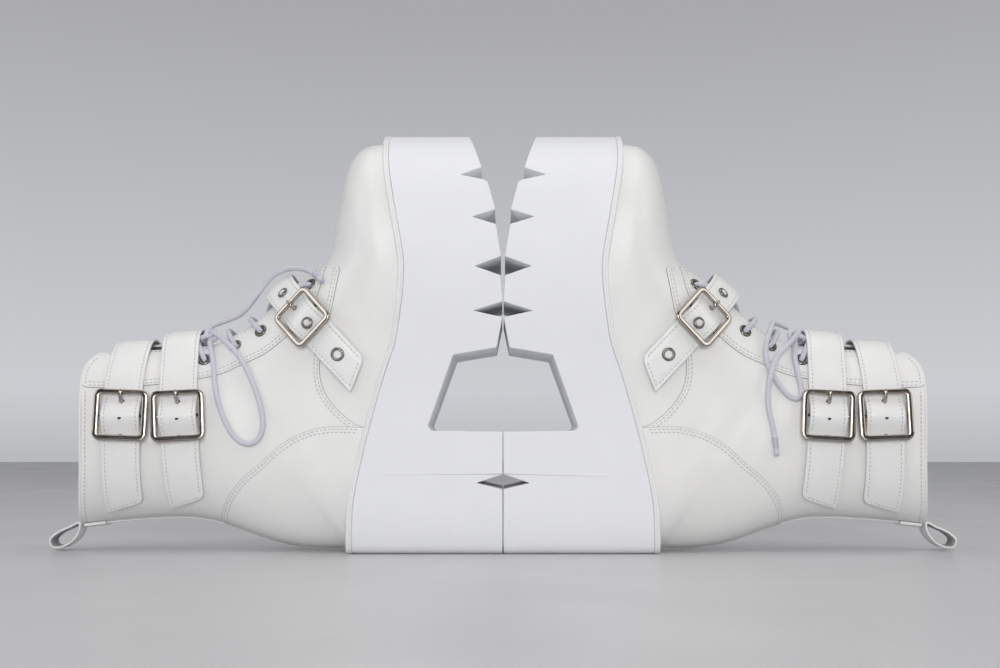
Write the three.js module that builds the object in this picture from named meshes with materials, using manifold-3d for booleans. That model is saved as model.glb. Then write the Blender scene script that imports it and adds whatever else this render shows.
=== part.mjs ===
// A pair of platform lace-up ankle boots with three buckled straps on each boot.
// The pair lies on its heel backs, toes up (+Z), soles facing each other at x = 0.
// One boot reaches towards -X, its mirror twin towards +X; both buckle sides face -Y.
// Each boot is worked out in its own frame (L, H, W), in millimetres:
//   L along the foot from the heel's back to the toe, H up from the ground, W towards the buckle side.
import * as THREE from 'three';
import * as BufferGeometryUtils from 'three/addons/utils/BufferGeometryUtils.js';
import Module from 'manifold-3d';

const wasm = await Module();
wasm.setup();

// ---------------------------------------------------------------- driving dimensions, mm
const GROUND = 0.4;          // each sole's ground plane stands this far from x = 0
const WALL = 2.4;            // upper: leather and lining together
const GAP = 0.35;            // clearance between pieces that touch
const WELT_H = 3.6;          // height of the rand strip on the platform's edge
const WELT_T = 2.2;          // its thickness
const OPEN_HALF = 13;        // half of the gap between the two eyelet facings
const STRAP_T = 1.8;         // strap thickness
const STRAP_BASE = 2.1;      // strap's underside above the upper (the chape lies under it)
const CROWN = 4.6;           // extra rise of the strap over the buckle's centre bar
const CROWN_HALF = 13.0;     // half length of that rise
const ANKLE_W = 26.4;        // ankle strap width
const INSTEP_W = 23.2;       // instep strap width
const BUCKLE_A = { along: 36.0, across: 37.2, wire: 4.2 };   // ankle buckle frame, outer
const BUCKLE_I = { along: 33.0, across: 33.0, wire: 3.9 };   // instep buckle frame, outer
const FRAME_T = 2.8;         // frame thickness
const FRAME_N = 4.9;         // frame's underside above the upper
const BAR_R = 1.1;           // centre bar radius
const BAR_N = 4.0;           // centre bar's axis above the upper
const PRONG_R = 1.0;
const TAIL_START = 19.0;     // the free tail begins this far past the buckle's centre bar
const LACE_D = 3.8;
const LOOP_W = 16;           // pull loop width
const MID_W = 0.7;           // the outline's middle, so that the pair is centred on y = 0

// top of the platform (welt line): L, H
const WELT = [[-5, 104.8], [6, 104.5], [35.5, 103], [65, 97.3], [94, 90], [124, 81.2], [146, 73.6], [162, 70.7], [186, 67.8],
  [200, 67.4], [214, 69.2], [238, 73.5], [267, 78.2], [285, 79.7], [300, 80.6]];
// plan of the platform: L, half width, centre
const PLAN = [[0, 30, 0], [1.5, 33.5, 0], [4, 35.8, 0.2], [12, 38, 0.4], [25, 39.2, 0.5], [50, 39.5, 0.6], [80, 39.5, 1], [110, 40, 1.8],
  [140, 43, 2], [170, 47.2, 1.7], [200, 50.2, 1.2], [220, 51.2, 0.7], [240, 49.8, 0.2], [255, 46.4, 0], [268, 40.8, -0.6],
  [279, 33.2, -1.5], [288, 23.5, -3], [294, 13, -4.4], [297, 4, -5.3]];
// underside of the platform from toe to heel: L, H
const UNDER = [[295.2, 23.6], [268, 15.2], [266, 14.6], [260.5, 29.2], [257, 13.4], [255, 10.4], [235.5, 5.2], [230.5, 21], [225.5, 4.8],
  [203.5, 1.3], [197, 19.2], [190.8, 1.5], [173.1, GROUND], [167, 20.3], [162.7, GROUND], [142.2, 4.4], [137.2, 34.1],
  [88.4, 51.7], [85.5, 49.4], [84.8, GROUND], [55.4, GROUND], [49.4, 18.3], [45.1, GROUND], [0, GROUND]];

// upper: cross-sections fanned from toe to collar
// NL, NH (ridge), FL, FH (sole or back), half width, centre, width left at F, sa, sb, power
const ST = [
  [290, 93, 290, 79.8, 6, -5, .95, .6, .8, 2.1],
  [288, 98.5, 288, 79.7, 16, -4, .97, .6, .8, 2.1],
  [283.3, 104, 283.3, 79.4, 24.5, -2.8, .97, .6, .8, 2.1],
  [274.6, 109.8, 274.6, 78.9, 32.5, -1.5, .97, .62, .8, 2.1],
  [263, 113.3, 263, 77.6, 39.5, -.4, .97, .64, .8, 2.1],
  [250, 116, 250, 75.9, 44.8, 0, .97, .66, .8, 2.1],
  [236, 118.2, 236, 73.2, 47.3, .3, .97, .68, .8, 2.1],
  [221, 121, 221, 70.4, 48, .7, .97, .7, .8, 2.05],
  [207, 125, 205, 68, 47.3, 1, .97, .72, .8, 2.0],
  [198, 133, 184, 67.9, 45.3, 1.4, .97, .72, .8, 2.0],
  [189, 146.5, 161, 70.8, 42.3, 1.8, .97, .7, .8, 2.0],
  [179, 158.5, 136, 77, 39.3, 2, .97, .66, .8, 2.0],
  [169.5, 169.5, 110, 85, 37.3, 1.8, .97, .62, .78, 2.0],
  [161.5, 180.5, 83, 93.2, 36.6, 1, .97, .58, .74, 2.05],
  [156, 190, 55, 99.2, 36.4, .6, .97, .55, .7, 2.1],
  [152.5, 198, 28, 103.4, 36.2, .5, .9, .53, .66, 2.15],
  [150, 205, 8.5, 104.6, 36, .4, .62, .52, .6, 2.15],
  [148.6, 211, 4.2, 113, 36, .3, .2, .51, .55, 2.15],
  [147.8, 217, 3.2, 127, 36, .2, 0, .5, .52, 2.15],
  [147, 224.5, 4.6, 147, 36, .1, 0, .5, .5, 2.15],
  [146.3, 233, 10.5, 170, 35.5, 0, 0, .5, .5, 2.15],
  [145.5, 243, 19, 193, 35, 0, 0, .5, .5, 2.15],
  [144.9, 253, 23.8, 214, 35, 0, 0, .5, .5, 2.15],
  [144.3, 264, 24.8, 236, 35.3, 0, 0, .5, .5, 2.15],
  [143.5, 276.5, 23.4, 262, 35.8, 0, 0, .5, .5, 2.15],
  [142.6, 290, 20.8, 288, 36.3, 0, 0, .5, .5, 2.15],
  [141.8, 303, 19, 306, 36.6, 0, 0, .5, .5, 2.15],
  [141.2, 316, 17.5, 322, 36.8, 0, 0, .5, .5, 2.15],
];
// seams, drawn on the side of the boot: L, H
const VAMP_SEAM = [[199.5, 190], [199.5, 113.5], [196, 112], [169, 117.5], [131, 126], [115, 124], [104, 117.5], [94.5, 108], [88.4, 97.5], [88.4, 60]];
const COUNTER_SEAM = [[-20, 194], [22, 191], [37, 186.5], [50.8, 178.5], [63, 167.5], [75.6, 153.3], [84.2, 137.4], [87.9, 121.6], [87.9, 97.5], [87.9, 60]];
const FACING_SEAM = [[114.8, 330], [115.2, 291.5], [114.8, 277], [117, 240], [121, 212], [124, 197.5], [131, 181.5], [137.2, 167.3],
  [146.5, 154], [160, 140], [178, 128], [210, 121]];
const COLLAR = [[-20, 300], [20, 299], [26, 297.5], [40, 294.5], [61, 292], [87, 291.6], [115, 292.5], [125, 292.8], [133, 290.6], [139.5, 285], [142.6, 277.5], [170, 272]];

// ---------------------------------------------------------------- the upper's surface
const clamp = (x, a, b) => Math.max(a, Math.min(b, x));
function station(t) {
  const n = ST.length - 1;
  t = clamp(t, 0, n);
  const i = Math.min(Math.floor(t), n - 1), f = t - i;
  const p0 = ST[Math.max(i - 1, 0)], p1 = ST[i], p2 = ST[i + 1], p3 = ST[Math.min(i + 2, n)];
  return p1.map((_, k) => {
    const a = p0[k], b = p1[k], c = p2[k], d = p3[k];
    return 0.5 * ((2 * b) + (c - a) * f + (2 * a - 5 * b + 4 * c - d) * f * f + (3 * b - a - 3 * c + d) * f * f * f);
  });
}
function widthAt(st, s) {
  const [, , , , w, , r0, sa, sb, p] = st;
  const r = clamp(r0, 0, 1);
  const a = s >= sa ? 1 : Math.pow(Math.max(1 - Math.pow(1 - s / sa, p), 0), 1 / p);
  const q = clamp((s - sb) / (1 - sb), 0, 1);
  const b = Math.pow(Math.max(1 - (1 - Math.pow(r, p)) * Math.pow(q, p), 0), 1 / p);
  return w * a * b;
}
// point on the upper's outer surface; phi runs -PI..PI, positive on the buckle side, 0 on the front ridge
function onUpper(t, phi) {
  const st = station(t), s = (1 - Math.cos(phi)) / 2;
  const w = widthAt(st, s) * Math.sign(phi);
  return new THREE.Vector3(st[0] + (st[2] - st[0]) * s, st[1] + (st[3] - st[1]) * s, st[5] + w);
}
function normalAt(t, phi) {
  const lim = Math.PI - 0.06, ph = clamp(phi, -lim, lim), e = 0.04;
  const a = onUpper(t + e, ph).sub(onUpper(t - e, ph)), b = onUpper(t, ph + e).sub(onUpper(t, ph - e));
  return a.cross(b).normalize();   // points outwards
}
const offUpper = (t, phi, off) => onUpper(t, phi).addScaledVector(normalAt(t, phi), off);
// where a side-view point (L, H) lies: section number t, and s from ridge to sole
function locate(L, H) {
  const side = (t) => { const q = station(t); return (q[2] - q[0]) * (H - q[1]) - (q[3] - q[1]) * (L - q[0]); };
  let lo = 0, prev = side(0), found = null;
  for (let i = 1; i <= 270; i++) {
    const t = i * (ST.length - 1) / 270, v = side(t);
    if ((v > 0) !== (prev > 0)) { found = [lo, t, prev]; const q = station(t), d = Math.hypot(q[2] - q[0], q[3] - q[1]);
      const s = ((L - q[0]) * (q[2] - q[0]) + (H - q[1]) * (q[3] - q[1])) / (d * d); if (s > -0.2 && s < 1.2) break; }
    lo = t; prev = v;
  }
  if (!found) return null;
  let [a, b, va] = found;
  for (let k = 0; k < 30; k++) { const m = (a + b) / 2, v = side(m); if ((v > 0) === (va > 0)) a = m; else b = m; }
  const t = (a + b) / 2, q = station(t), d2 = (q[2] - q[0]) ** 2 + (q[3] - q[1]) ** 2;
  const s = ((L - q[0]) * (q[2] - q[0]) + (H - q[1]) * (q[3] - q[1])) / d2;
  return { t, s };
}
// surface point, outward normal at side-view point (L, H) on the given side (+1 buckle side, -1 inner side)
function sidePoint(L, H, side, slack = 0) {
  const f = locate(L, H);
  if (!f || f.s < -slack || f.s > 1 + slack) return null;
  const phi = side * Math.acos(1 - 2 * clamp(f.s, 0, 1));
  return { p: onUpper(f.t, phi === 0 ? side * 1e-6 : phi), n: normalAt(f.t, phi) };
}

// ---------------------------------------------------------------- solids
function clean(positions, indices) {
  let g = new THREE.BufferGeometry();
  g.setAttribute('position', new THREE.Float32BufferAttribute(positions, 3));
  g.setIndex(indices);
  return weld(g);
}
function weld(geometry) {
  const g0 = geometry.clone();
  for (const name of Object.keys(g0.attributes)) if (name !== 'position') g0.deleteAttribute(name);
  const g = BufferGeometryUtils.mergeVertices(g0, 1e-3);
  const idx = g.getIndex().array, out = [];
  for (let i = 0; i < idx.length; i += 3) {
    const [a, b, c] = [idx[i], idx[i + 1], idx[i + 2]];
    if (a !== b && b !== c && a !== c) out.push(a, b, c);
  }
  g.setIndex(out);
  return g;
}
function solid(geometry) {
  const g = weld(geometry);
  return new wasm.Manifold(new wasm.Mesh({ numProp: 3, vertProperties: new Float32Array(g.attributes.position.array), triVerts: new Uint32Array(g.getIndex().array) }));
}
function fromSolid(m) {
  const mesh = m.getMesh(), n = mesh.numProp, pos = [];
  for (let i = 0; i < mesh.vertProperties.length; i += n) pos.push(mesh.vertProperties[i], mesh.vertProperties[i + 1], mesh.vertProperties[i + 2]);
  return clean(pos, Array.from(mesh.triVerts));
}
// rings of equal length joined into a closed body
function loft(rings) {
  const n = rings[0].length, pos = [], idx = [];
  for (const r of rings) for (const p of r) pos.push(p.x, p.y, p.z);
  for (let i = 0; i < rings.length - 1; i++) for (let j = 0; j < n; j++) {
    const a = i * n + j, b = i * n + (j + 1) % n, c = (i + 1) * n + (j + 1) % n, d = (i + 1) * n + j;
    idx.push(a, b, c, a, c, d);
  }
  for (const [k, flip] of [[0, true], [rings.length - 1, false]]) {
    const c = rings[k].reduce((s, p) => s.add(p), new THREE.Vector3()).divideScalar(n);
    const ci = pos.length / 3;
    pos.push(c.x, c.y, c.z);
    for (let j = 0; j < n; j++) {
      const a = k * n + j, b = k * n + (j + 1) % n;
      if (flip) idx.push(ci, b, a); else idx.push(ci, a, b);
    }
  }
  const g = clean(pos, idx);
  return outward(g);
}
function outward(g) {
  const p = g.attributes.position, idx = g.getIndex().array;
  let v = 0;
  const a = new THREE.Vector3(), b = new THREE.Vector3(), c = new THREE.Vector3();
  for (let i = 0; i < idx.length; i += 3) {
    a.fromBufferAttribute(p, idx[i]); b.fromBufferAttribute(p, idx[i + 1]); c.fromBufferAttribute(p, idx[i + 2]);
    v += a.dot(b.clone().cross(c));
  }
  if (v < 0) { const o = []; for (let i = 0; i < idx.length; i += 3) o.push(idx[i], idx[i + 2], idx[i + 1]); g.setIndex(o); }
  return g;
}
// a side-view outline (L, H) drawn out along W
function prism(points, w0, w1, holes = []) {
  const shape = new THREE.Shape(points.map(([l, h]) => new THREE.Vector2(l, h)));
  for (const hole of holes) shape.holes.push(new THREE.Path(hole.map(([l, h]) => new THREE.Vector2(l, h))));
  const g = new THREE.ExtrudeGeometry(shape, { depth: w1 - w0, bevelEnabled: false, curveSegments: 8 });
  g.translate(0, 0, w0);
  return outward(weld(g));
}
function box(l0, l1, h0, h1, w0, w1) {
  const g = new THREE.BoxGeometry(l1 - l0, h1 - h0, w1 - w0);
  g.translate((l0 + l1) / 2, (h0 + h1) / 2, (w0 + w1) / 2);
  return g;
}
function interp(table, L, k) {
  for (let i = 0; i < table.length - 1; i++) if (L <= table[i + 1][0] || i === table.length - 2) {
    const f = clamp((L - table[i][0]) / (table[i + 1][0] - table[i][0]), 0, 1);
    return table[i][k] + f * (table[i + 1][k] - table[i][k]);
  }
}
const weltH = (L) => interp(WELT, L, 1);
// moves a side-view polyline sideways by d (to its left when d > 0)
function shift(line, d) {
  return line.map((p, i) => {
    const a = line[Math.max(i - 1, 0)], b = line[Math.min(i + 1, line.length - 1)];
    const dx = b[0] - a[0], dy = b[1] - a[1], n = Math.hypot(dx, dy);
    return [p[0] - dy / n * d, p[1] + dx / n * d];
  });
}

// upper body grown by off; ext lets its open bottom reach below the platform's top
function upperBody(off, ext, t0, t1, rows, half) {
  const rings = [];
  for (let i = 0; i <= rows; i++) {
    const t = t0 + (t1 - t0) * i / rows, st = station(t), r = clamp(st[6], 0, 1);
    const ring = [];
    for (let j = -half; j <= half; j++) {
      const phi = Math.PI * j / half;
      let p = off === 0 ? onUpper(t, phi) : offUpper(t, phi, off);
      if (Math.abs(j) === half && r === 0) p.z = st[5];
      if (j === 0) p.z = st[5];
      ring.push(p);
    }
    const drop = ext * Math.min(1, r / 0.5);
    const last = ring[ring.length - 1].clone(), first = ring[0].clone();
    last.y -= drop; first.y -= drop;
    ring.push(last); ring.unshift(first);
    rings.push(ring);
  }
  return solid(loft(rings));
}

const ROWS = 20, HALF = 6;
const outer = upperBody(0, 3, 0, ST.length - 2, ROWS, HALF);
const inner = upperBody(-WALL, 9, 0.45, ST.length - 1, ROWS, HALF);
// the rand strip's room along the bottom edge
const randSide = [...WELT.map(([l, h]) => [l, h - 2]), ...WELT.map(([l, h]) => [l, h + 2 * GAP + WELT_H]).reverse()];
randSide[0][0] = -12; randSide[randSide.length - 1][0] = -12;
const randRoom = solid(prism(randSide, -80, 80)).subtract(solid(planPrism(planOutline(WELT_T + GAP), -6, 122)));
const shell = outer.subtract(inner).subtract(randRoom);

const bottomLine = WELT.map(([l, h]) => [l, h + 0.4]);
const bottom = (l0, l1) => [[l0, weltH(l0) + 0.4], ...bottomLine.filter(([l]) => l > l0 + 0.5 && l < l1 - 0.5), [l1, weltH(l1) + 0.4]];
function cut(points, w0, w1) { return shell.intersect(solid(prism(points, w0, w1))); }

// vamp: toe and forefoot in one piece, both sides
const vampBottom = bottom(88.4, 299);
const vamp = cut([...VAMP_SEAM.slice(0, -1), ...vampBottom, [299, 190]], -80, 80);
// heel counter, wrapped round the back
const cs = COUNTER_SEAM.slice(0, -1);
const counter = cut([...cs, ...bottom(-4.9, 87.9).reverse(), [-20, 104]], -80, 80);
// quarters and eyelet facings
const fq = shift(FACING_SEAM, GAP), ff = FACING_SEAM;
const collarBack = COLLAR.filter(([l]) => l < 114);
const vq = shift(VAMP_SEAM.slice(1, -1), -GAP), cq = shift(COUNTER_SEAM.slice(0, -1), GAP);
const quarterOutline = [
  [-20, 300], ...collarBack.slice(1), [114.4, 292.5],
  ...shift(FACING_SEAM.slice(1), -GAP).filter(([l]) => l < 197),
  [198.9, 122.6], ...vq.slice(0, -1), [88.15, 98.2], ...cq.slice(1, -1).reverse(), [-20, 194.5],
];
const quarterL = cut(quarterOutline, 0.2, 80), quarterM = cut(quarterOutline, -80, -0.2);
const facingOutline = [
  [115.2, 292.5], [125, 292.8], [133, 290.6], [139.5, 285], [142.6, 277.5], [170, 272], [240, 190], [198.9, 190], [198.9, 123.4],
  ...FACING_SEAM.slice(1).filter(([l]) => l < 197).reverse(),
];
const facingL = cut(facingOutline, OPEN_HALF, 80), facingM = cut(facingOutline, -80, -OPEN_HALF);

// a strip of the surface in (t, phi) with thickness
function patch(tA, tB, nt, phiA, phiB, np, off0, off1, edge = (u, v) => [u, v]) {
  const rings = [];
  for (let i = 0; i <= nt; i++) {
    const ring = [], t = tA + (tB - tA) * i / nt;
    for (let j = 0; j <= np; j++) { const [tt, ph] = edge(t, phiA + (phiB - phiA) * j / np); ring.push(offUpper(tt, ph, off1)); }
    for (let j = np; j >= 0; j--) { const [tt, ph] = edge(t, phiA + (phiB - phiA) * j / np); ring.push(offUpper(tt, ph, off0)); }
    rings.push(ring);
  }
  return loft(rings);
}
const tongue = patch(8.5, 24.7, 14, -0.72, 0.72, 6, -WALL - 4.6, -WALL - 1.9);

// flat slab that follows the top of the platform
function slab(stations, inset, h0, h1) {
  return loft(stations.map((L) => {
    const hw = Math.max(interp(PLAN, L, 1) - inset, 2), c = interp(PLAN, L, 2), h = weltH(L);
    return [[c - hw, h + h0], [c + hw, h + h0], [c + hw, h + h1], [c - hw, h + h1]]
      .map(([w, y]) => new THREE.Vector3(L, y, w));
  }));
}
const bedL = [12, 20, 45, 80, 120, 160, 190, 220, 250, 270, 276];
const room = upperBody(-WALL - 2.6, 9, 0.6, 20, 15, 5);
const insole = fromSolid(solid(slab(bedL, 7.6, 1.4, 3.0)).intersect(room));
const footbed = fromSolid(solid(slab(bedL, 7.2, 3.4, 7.2)).intersect(room));

// platform: plan and side view drawn through each other
function planOutline(inset) {
  const a = PLAN.map(([l, w, c]) => [l, c + w]), b = PLAN.map(([l, w, c]) => [l, c - w]).reverse();
  const loop = [...a, ...b];
  if (!inset) return loop;
  return loop.map((p, i) => {
    const q = loop[(i + loop.length - 1) % loop.length], r = loop[(i + 1) % loop.length];
    let dx = r[0] - q[0], dy = r[1] - q[1]; const n = Math.hypot(dx, dy);
    return [p[0] + dy / n * inset, p[1] - dx / n * inset];
  });
}
function planPrism(loop, h0, h1) {
  const shape = new THREE.Shape(loop.map(([l, w]) => new THREE.Vector2(l, w)));
  const g = new THREE.ExtrudeGeometry(shape, { depth: h1 - h0, bevelEnabled: false });
  // shape's (x, y, depth) becomes (L, W, H)
  g.translate(0, 0, h0);
  const p = g.attributes.position;
  for (let i = 0; i < p.count; i++) { const y = p.getY(i); p.setY(i, p.getZ(i)); p.setZ(i, y); }
  return outward(weld(g));
}
const sideOutline = [...UNDER.slice(0, -1), [-5, GROUND], ...WELT, [300, 24.5]];
const platform = solid(prism(sideOutline, -70, 70)).intersect(solid(planPrism(planOutline(0), -5, 120)));
const weltSide = [...WELT.map(([l, h]) => [l, h + GAP]), ...WELT.map(([l, h]) => [l, h + GAP + WELT_H]).reverse()];
weltSide[0][0] = -10; weltSide[weltSide.length - 1][0] = -10;
const welt = solid(prism(weltSide, -70, 70)).intersect(solid(planPrism(planOutline(0), -5, 120))).subtract(solid(planPrism(planOutline(WELT_T), -6, 121)));

// ---------------------------------------------------------------- straps
// A strap runs in a plane that holds W. start is a side-view point in front of the ridge, dir its side-view direction.
function strapCurve(start, dir, q, lengthL, lengthM) {
  const d = new THREE.Vector2(...dir).normalize(), e = new THREE.Vector2(-d.y, d.x);
  const o = new THREE.Vector2(...start).addScaledVector(e, q);
  const run = (side, want) => {
    const out = []; let last = null, len = 0, lam = 0, first = true;
    // walk to the ridge
    let l0 = 0; while (l0 < 80) { const f = locate(o.x + d.x * l0, o.y + d.y * l0); if (f && f.s >= 0 && f.s <= 1) break; l0 += 1; }
    let a = l0 - 1, b = l0;
    for (let k = 0; k < 24; k++) { const m = (a + b) / 2, f = locate(o.x + d.x * m, o.y + d.y * m); if (f && f.s >= 0 && f.s <= 1) b = m; else a = m; }
    lam = b + 1e-4;
    let step = 0.02;
    for (let guard = 0; guard < 4000; guard++) {
      const s = sidePoint(o.x + d.x * lam, o.y + d.y * lam, side);
      if (!s) break;
      if (last) len += s.p.distanceTo(last);
      out.push({ len, p: s.p, n: s.n }); last = s.p;
      if (len >= want) break;
      step = Math.min(step * 1.25, 0.8); lam += step;
    }
    return out;
  };
  const at = (list, len) => {
    for (let i = 1; i < list.length; i++) if (list[i].len >= len) {
      const f = (len - list[i - 1].len) / (list[i].len - list[i - 1].len || 1);
      return { p: list[i - 1].p.clone().lerp(list[i].p, f), n: list[i - 1].n.clone().lerp(list[i].n, f).normalize() };
    }
    const z = list[list.length - 1]; return { p: z.p.clone(), n: z.n.clone() };
  };
  const Lr = run(1, lengthL + 2), Mr = run(-1, lengthM + 2);
  return (len) => len >= 0 ? at(Lr, len) : at(Mr, -len);
}
// ribbon along the strap between two arc lengths; base(len) is its underside's height
function ribbon(curves, lens, base, thick, trim = null) {
  return loft(lens.map((len) => {
    const top = [], low = [];
    curves.forEach((c, k) => {
      const ll = trim ? trim(len, k / (curves.length - 1)) : len;
      const { p, n } = c(ll), b = base(ll);
      low.push(p.clone().addScaledVector(n, b)); top.push(p.clone().addScaledVector(n, b + thick));
    });
    return [...top, ...low.reverse()];
  }));
}
const range = (a, b, n) => Array.from({ length: n + 1 }, (_, i) => a + (b - a) * i / n);

// start, dir, width, buckle centre (L, H), tail end length past the buckle, frame, inner end length
const STRAPS = {
  ankle_upper: { start: [170, 260.4], dir: [-1, 0.03], w: ANKLE_W, at: [95.7, 262.6], tail: 69, slant: -8, frame: BUCKLE_A, medial: 78, lift: 2.4, reach: 30 },
  ankle_lower: { start: [170, 227.6], dir: [-1, -0.055], w: ANKLE_W, at: [95.2, 223.5], tail: 65.5, slant: -8, frame: BUCKLE_A, medial: 78, lift: 6.6, reach: 36 },
  instep: { start: [205, 174.9], dir: [-0.735, -0.678], w: INSTEP_W, at: [162.5, 135.7], tail: 58, slant: -8.5, frame: BUCKLE_I, medial: 96, lift: 6.8, reach: 33 },
};
function buildStrap(def) {
  const curves = [-def.w / 2, 0, def.w / 2].map((q) => strapCurve(def.start, def.dir, q, 170, def.medial + 4));
  const mid = curves[1];
  // arc length of the buckle centre on the middle curve
  let best = 0, bd = 1e9;
  for (let l = 0; l < 160; l += 0.25) { const { p } = mid(l), dd = Math.hypot(p.x - def.at[0], p.y - def.at[1]); if (dd < bd) { bd = dd; best = l; } }
  const c = best;
  const hill = (x, half) => Math.abs(x) < half ? Math.cos(Math.PI * x / (2 * half)) ** 2 : 0;
  const bump = (len) => CROWN * hill(len - c, CROWN_HALF) + def.lift * hill(len, def.reach);
  const base = (len) => {
    const far = len < 0 ? Math.min(1, (def.medial + len) / 12) : 1;   // the inner end comes down onto the upper, where it is sewn
    return 0.7 + (STRAP_BASE - 0.7) * far + bump(len);
  };
  const mainLens = [...range(-def.medial, -8, 8), -3, 3, ...range(9, c - 15, 4), ...range(c - 13, c + 13, 8), c + TAIL_START - 0.5];
  let strap = ribbon(curves, mainLens, base, STRAP_T);
  const end = c + def.tail;
  const tail = ribbon(curves, [...range(c + TAIL_START, end - 12, 5), end - 6, end], base, STRAP_T,
    (len, f) => len > end - 14 ? len + (len - (end - 14)) / 14 * (def.slant > 0 ? (1 - f) : f) * -Math.abs(def.slant) * 1.0 : len);
  // local frame of the buckle
  const m = mid(c), a = mid(c - 4).p, b = mid(c + 4).p;
  const n = m.n.clone(), u = b.clone().sub(a); u.addScaledVector(n, -u.dot(n)).normalize();
  const v = n.clone().cross(u).normalize();
  const M = new THREE.Matrix4().makeBasis(u, v, n).setPosition(m.p);
  return { curves, mid, c, base, strap, tail, M, u, v, n, o: m.p, end };
}
function roundRect(a, b, r) {
  const s = [];
  for (const [x, y, a0] of [[a - r, b - r, 0], [-a + r, b - r, 90], [-a + r, -b + r, 180], [a - r, -b + r, 270]])
    for (const k of [0, 45, 90]) { const t = (a0 + k) * Math.PI / 180; s.push([x + r * Math.cos(t), y + r * Math.sin(t)]); }
  return s;
}
function tube(points, r, sides = 6) {
  const rings = [], n = points.length;
  let ref = null;
  for (let i = 0; i < n; i++) {
    const t = points[Math.min(i + 1, n - 1)].clone().sub(points[Math.max(i - 1, 0)]).normalize();
    if (!ref) { ref = Math.abs(t.z) < 0.9 ? new THREE.Vector3(0, 0, 1) : new THREE.Vector3(1, 0, 0); }
    const a = ref.clone().addScaledVector(t, -ref.dot(t)).normalize(), b = t.clone().cross(a); ref = a;
    rings.push(Array.from({ length: sides }, (_, k) => {
      const w = 2 * Math.PI * k / sides;
      return points[i].clone().addScaledVector(a, r * Math.cos(w)).addScaledVector(b, r * Math.sin(w));
    }));
  }
  return loft(rings);
}
// buckle frame in its own axes: x along the strap, y across, z out
function buckleFrame(d) {
  const a = d.along / 2, b = d.across / 2;
  const shape = new THREE.Shape(roundRect(a, b, 4).map(([x, y]) => new THREE.Vector2(x, y)));
  shape.holes.push(new THREE.Path(roundRect(a - d.wire, b - d.wire, 2).map(([x, y]) => new THREE.Vector2(x, y))));
  const g = new THREE.ExtrudeGeometry(shape, { depth: FRAME_T, bevelEnabled: false });
  g.translate(0, 0, FRAME_N);
  const bar = tube([new THREE.Vector3(0, -b + d.wire * 0.6, BAR_N), new THREE.Vector3(0, b - d.wire * 0.6, BAR_N)], BAR_R, 8);
  const arms = [1, -1].map((s) => {   // the bar's ends rise into the frame's sides
    const q = new THREE.BoxGeometry(2.6, d.wire * 0.7, FRAME_N + 0.8 - (BAR_N - BAR_R)); q.translate(0, s * (b - d.wire * 0.45), (FRAME_N + 0.8 + BAR_N - BAR_R) / 2); return solid(q);
  });
  let m = solid(outward(weld(g))).add(solid(bar));
  for (const q of arms) m = m.add(q);
  return fromSolid(m);
}
function prong(d) {
  const a = d.along / 2;
  const eye = []; const R = BAR_R + GAP + 0.95, r = BAR_R + GAP;
  const shape = new THREE.Shape(Array.from({ length: 8 }, (_, k) => { const t = 2 * Math.PI * (k + 0.5) / 8; return new THREE.Vector2(R * Math.cos(t), R * Math.sin(t)); }));
  shape.holes.push(new THREE.Path(Array.from({ length: 8 }, (_, k) => { const t = 2 * Math.PI * (k + 0.5) / 8; return new THREE.Vector2(r / Math.cos(Math.PI / 8) * Math.cos(t), r / Math.cos(Math.PI / 8) * Math.sin(t)); })));
  const g = new THREE.ExtrudeGeometry(shape, { depth: 2.2, bevelEnabled: false });
  g.translate(0, 0, -1.1); g.rotateX(Math.PI / 2); g.translate(0, 0, BAR_N);
  const top = FRAME_N + FRAME_T + 0.5 + PRONG_R;
  const rod = tube([[-(R - 0.7), BAR_N - 0.5], [-5, BAR_N - 1.0], [-7.5, BAR_N - 0.2], [-10, BAR_N + 2.4], [-a + d.wire + 1.7, top - 0.8], [-a + d.wire - 1, top], [-a + 0.6, top]].map(([x, z]) => new THREE.Vector3(x, 0, z)), PRONG_R, 6);
  return fromSolid(solid(outward(weld(g))).add(solid(rod)));
}
// chape: a folded tab round the centre bar, sewn to the upper on the tail side
function chape(d, width) {
  const R1 = BAR_R + GAP, R2 = R1 + 0.8, n = 10, outerA = [], innerA = [];
  for (let k = 0; k <= n; k++) { const t = Math.PI * (0.36 + 1.42 * k / n); outerA.push([R2 * Math.cos(t), BAR_N + R2 * Math.sin(t)]); innerA.push([R1 * Math.cos(t), BAR_N + R1 * Math.sin(t)]); }
  // from above the bar, round its front, and down to the flat tab
  const tabEnd = 9, z0 = 0.35, z1 = 1.15;
  const last = outerA[outerA.length - 1], lastI = innerA[innerA.length - 1];
  const pts = [...outerA, [4.2, z0], [tabEnd, z0 - 0.0], [tabEnd, z1], [4.6, z1], ...innerA.slice().reverse()];
  const shape = new THREE.Shape(pts.map(([x, z]) => new THREE.Vector2(x, z)));
  const g = new THREE.ExtrudeGeometry(shape, { depth: width, bevelEnabled: false });
  g.translate(0, 0, -width / 2); g.rotateX(Math.PI / 2);
  const slot = new THREE.BoxGeometry(14, 3.2, 12); slot.translate(-2.0, 0, BAR_N);
  return fromSolid(solid(outward(weld(g))).subtract(solid(slot)));
}
const place = (geometry, M) => { const g = geometry.clone(); g.applyMatrix4(M); return outward(g); };

const strapSet = {};
for (const [name, def] of Object.entries(STRAPS)) {
  const s = buildStrap(def);
  const slot = new THREE.BoxGeometry(9.6, 3.4, 14); slot.translate(-9.0, 0, 5); slot.applyMatrix4(s.M);
  const hole = solid(slot);
  s.strapCut = fromSolid(solid(s.strap).subtract(hole));
  s.frame = place(buckleFrame(def.frame), s.M);
  s.prong = place(prong(def.frame), s.M);
  s.chape = place(chape(def.frame, def.w - 8), s.M);
  strapSet[name] = s;
}

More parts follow.
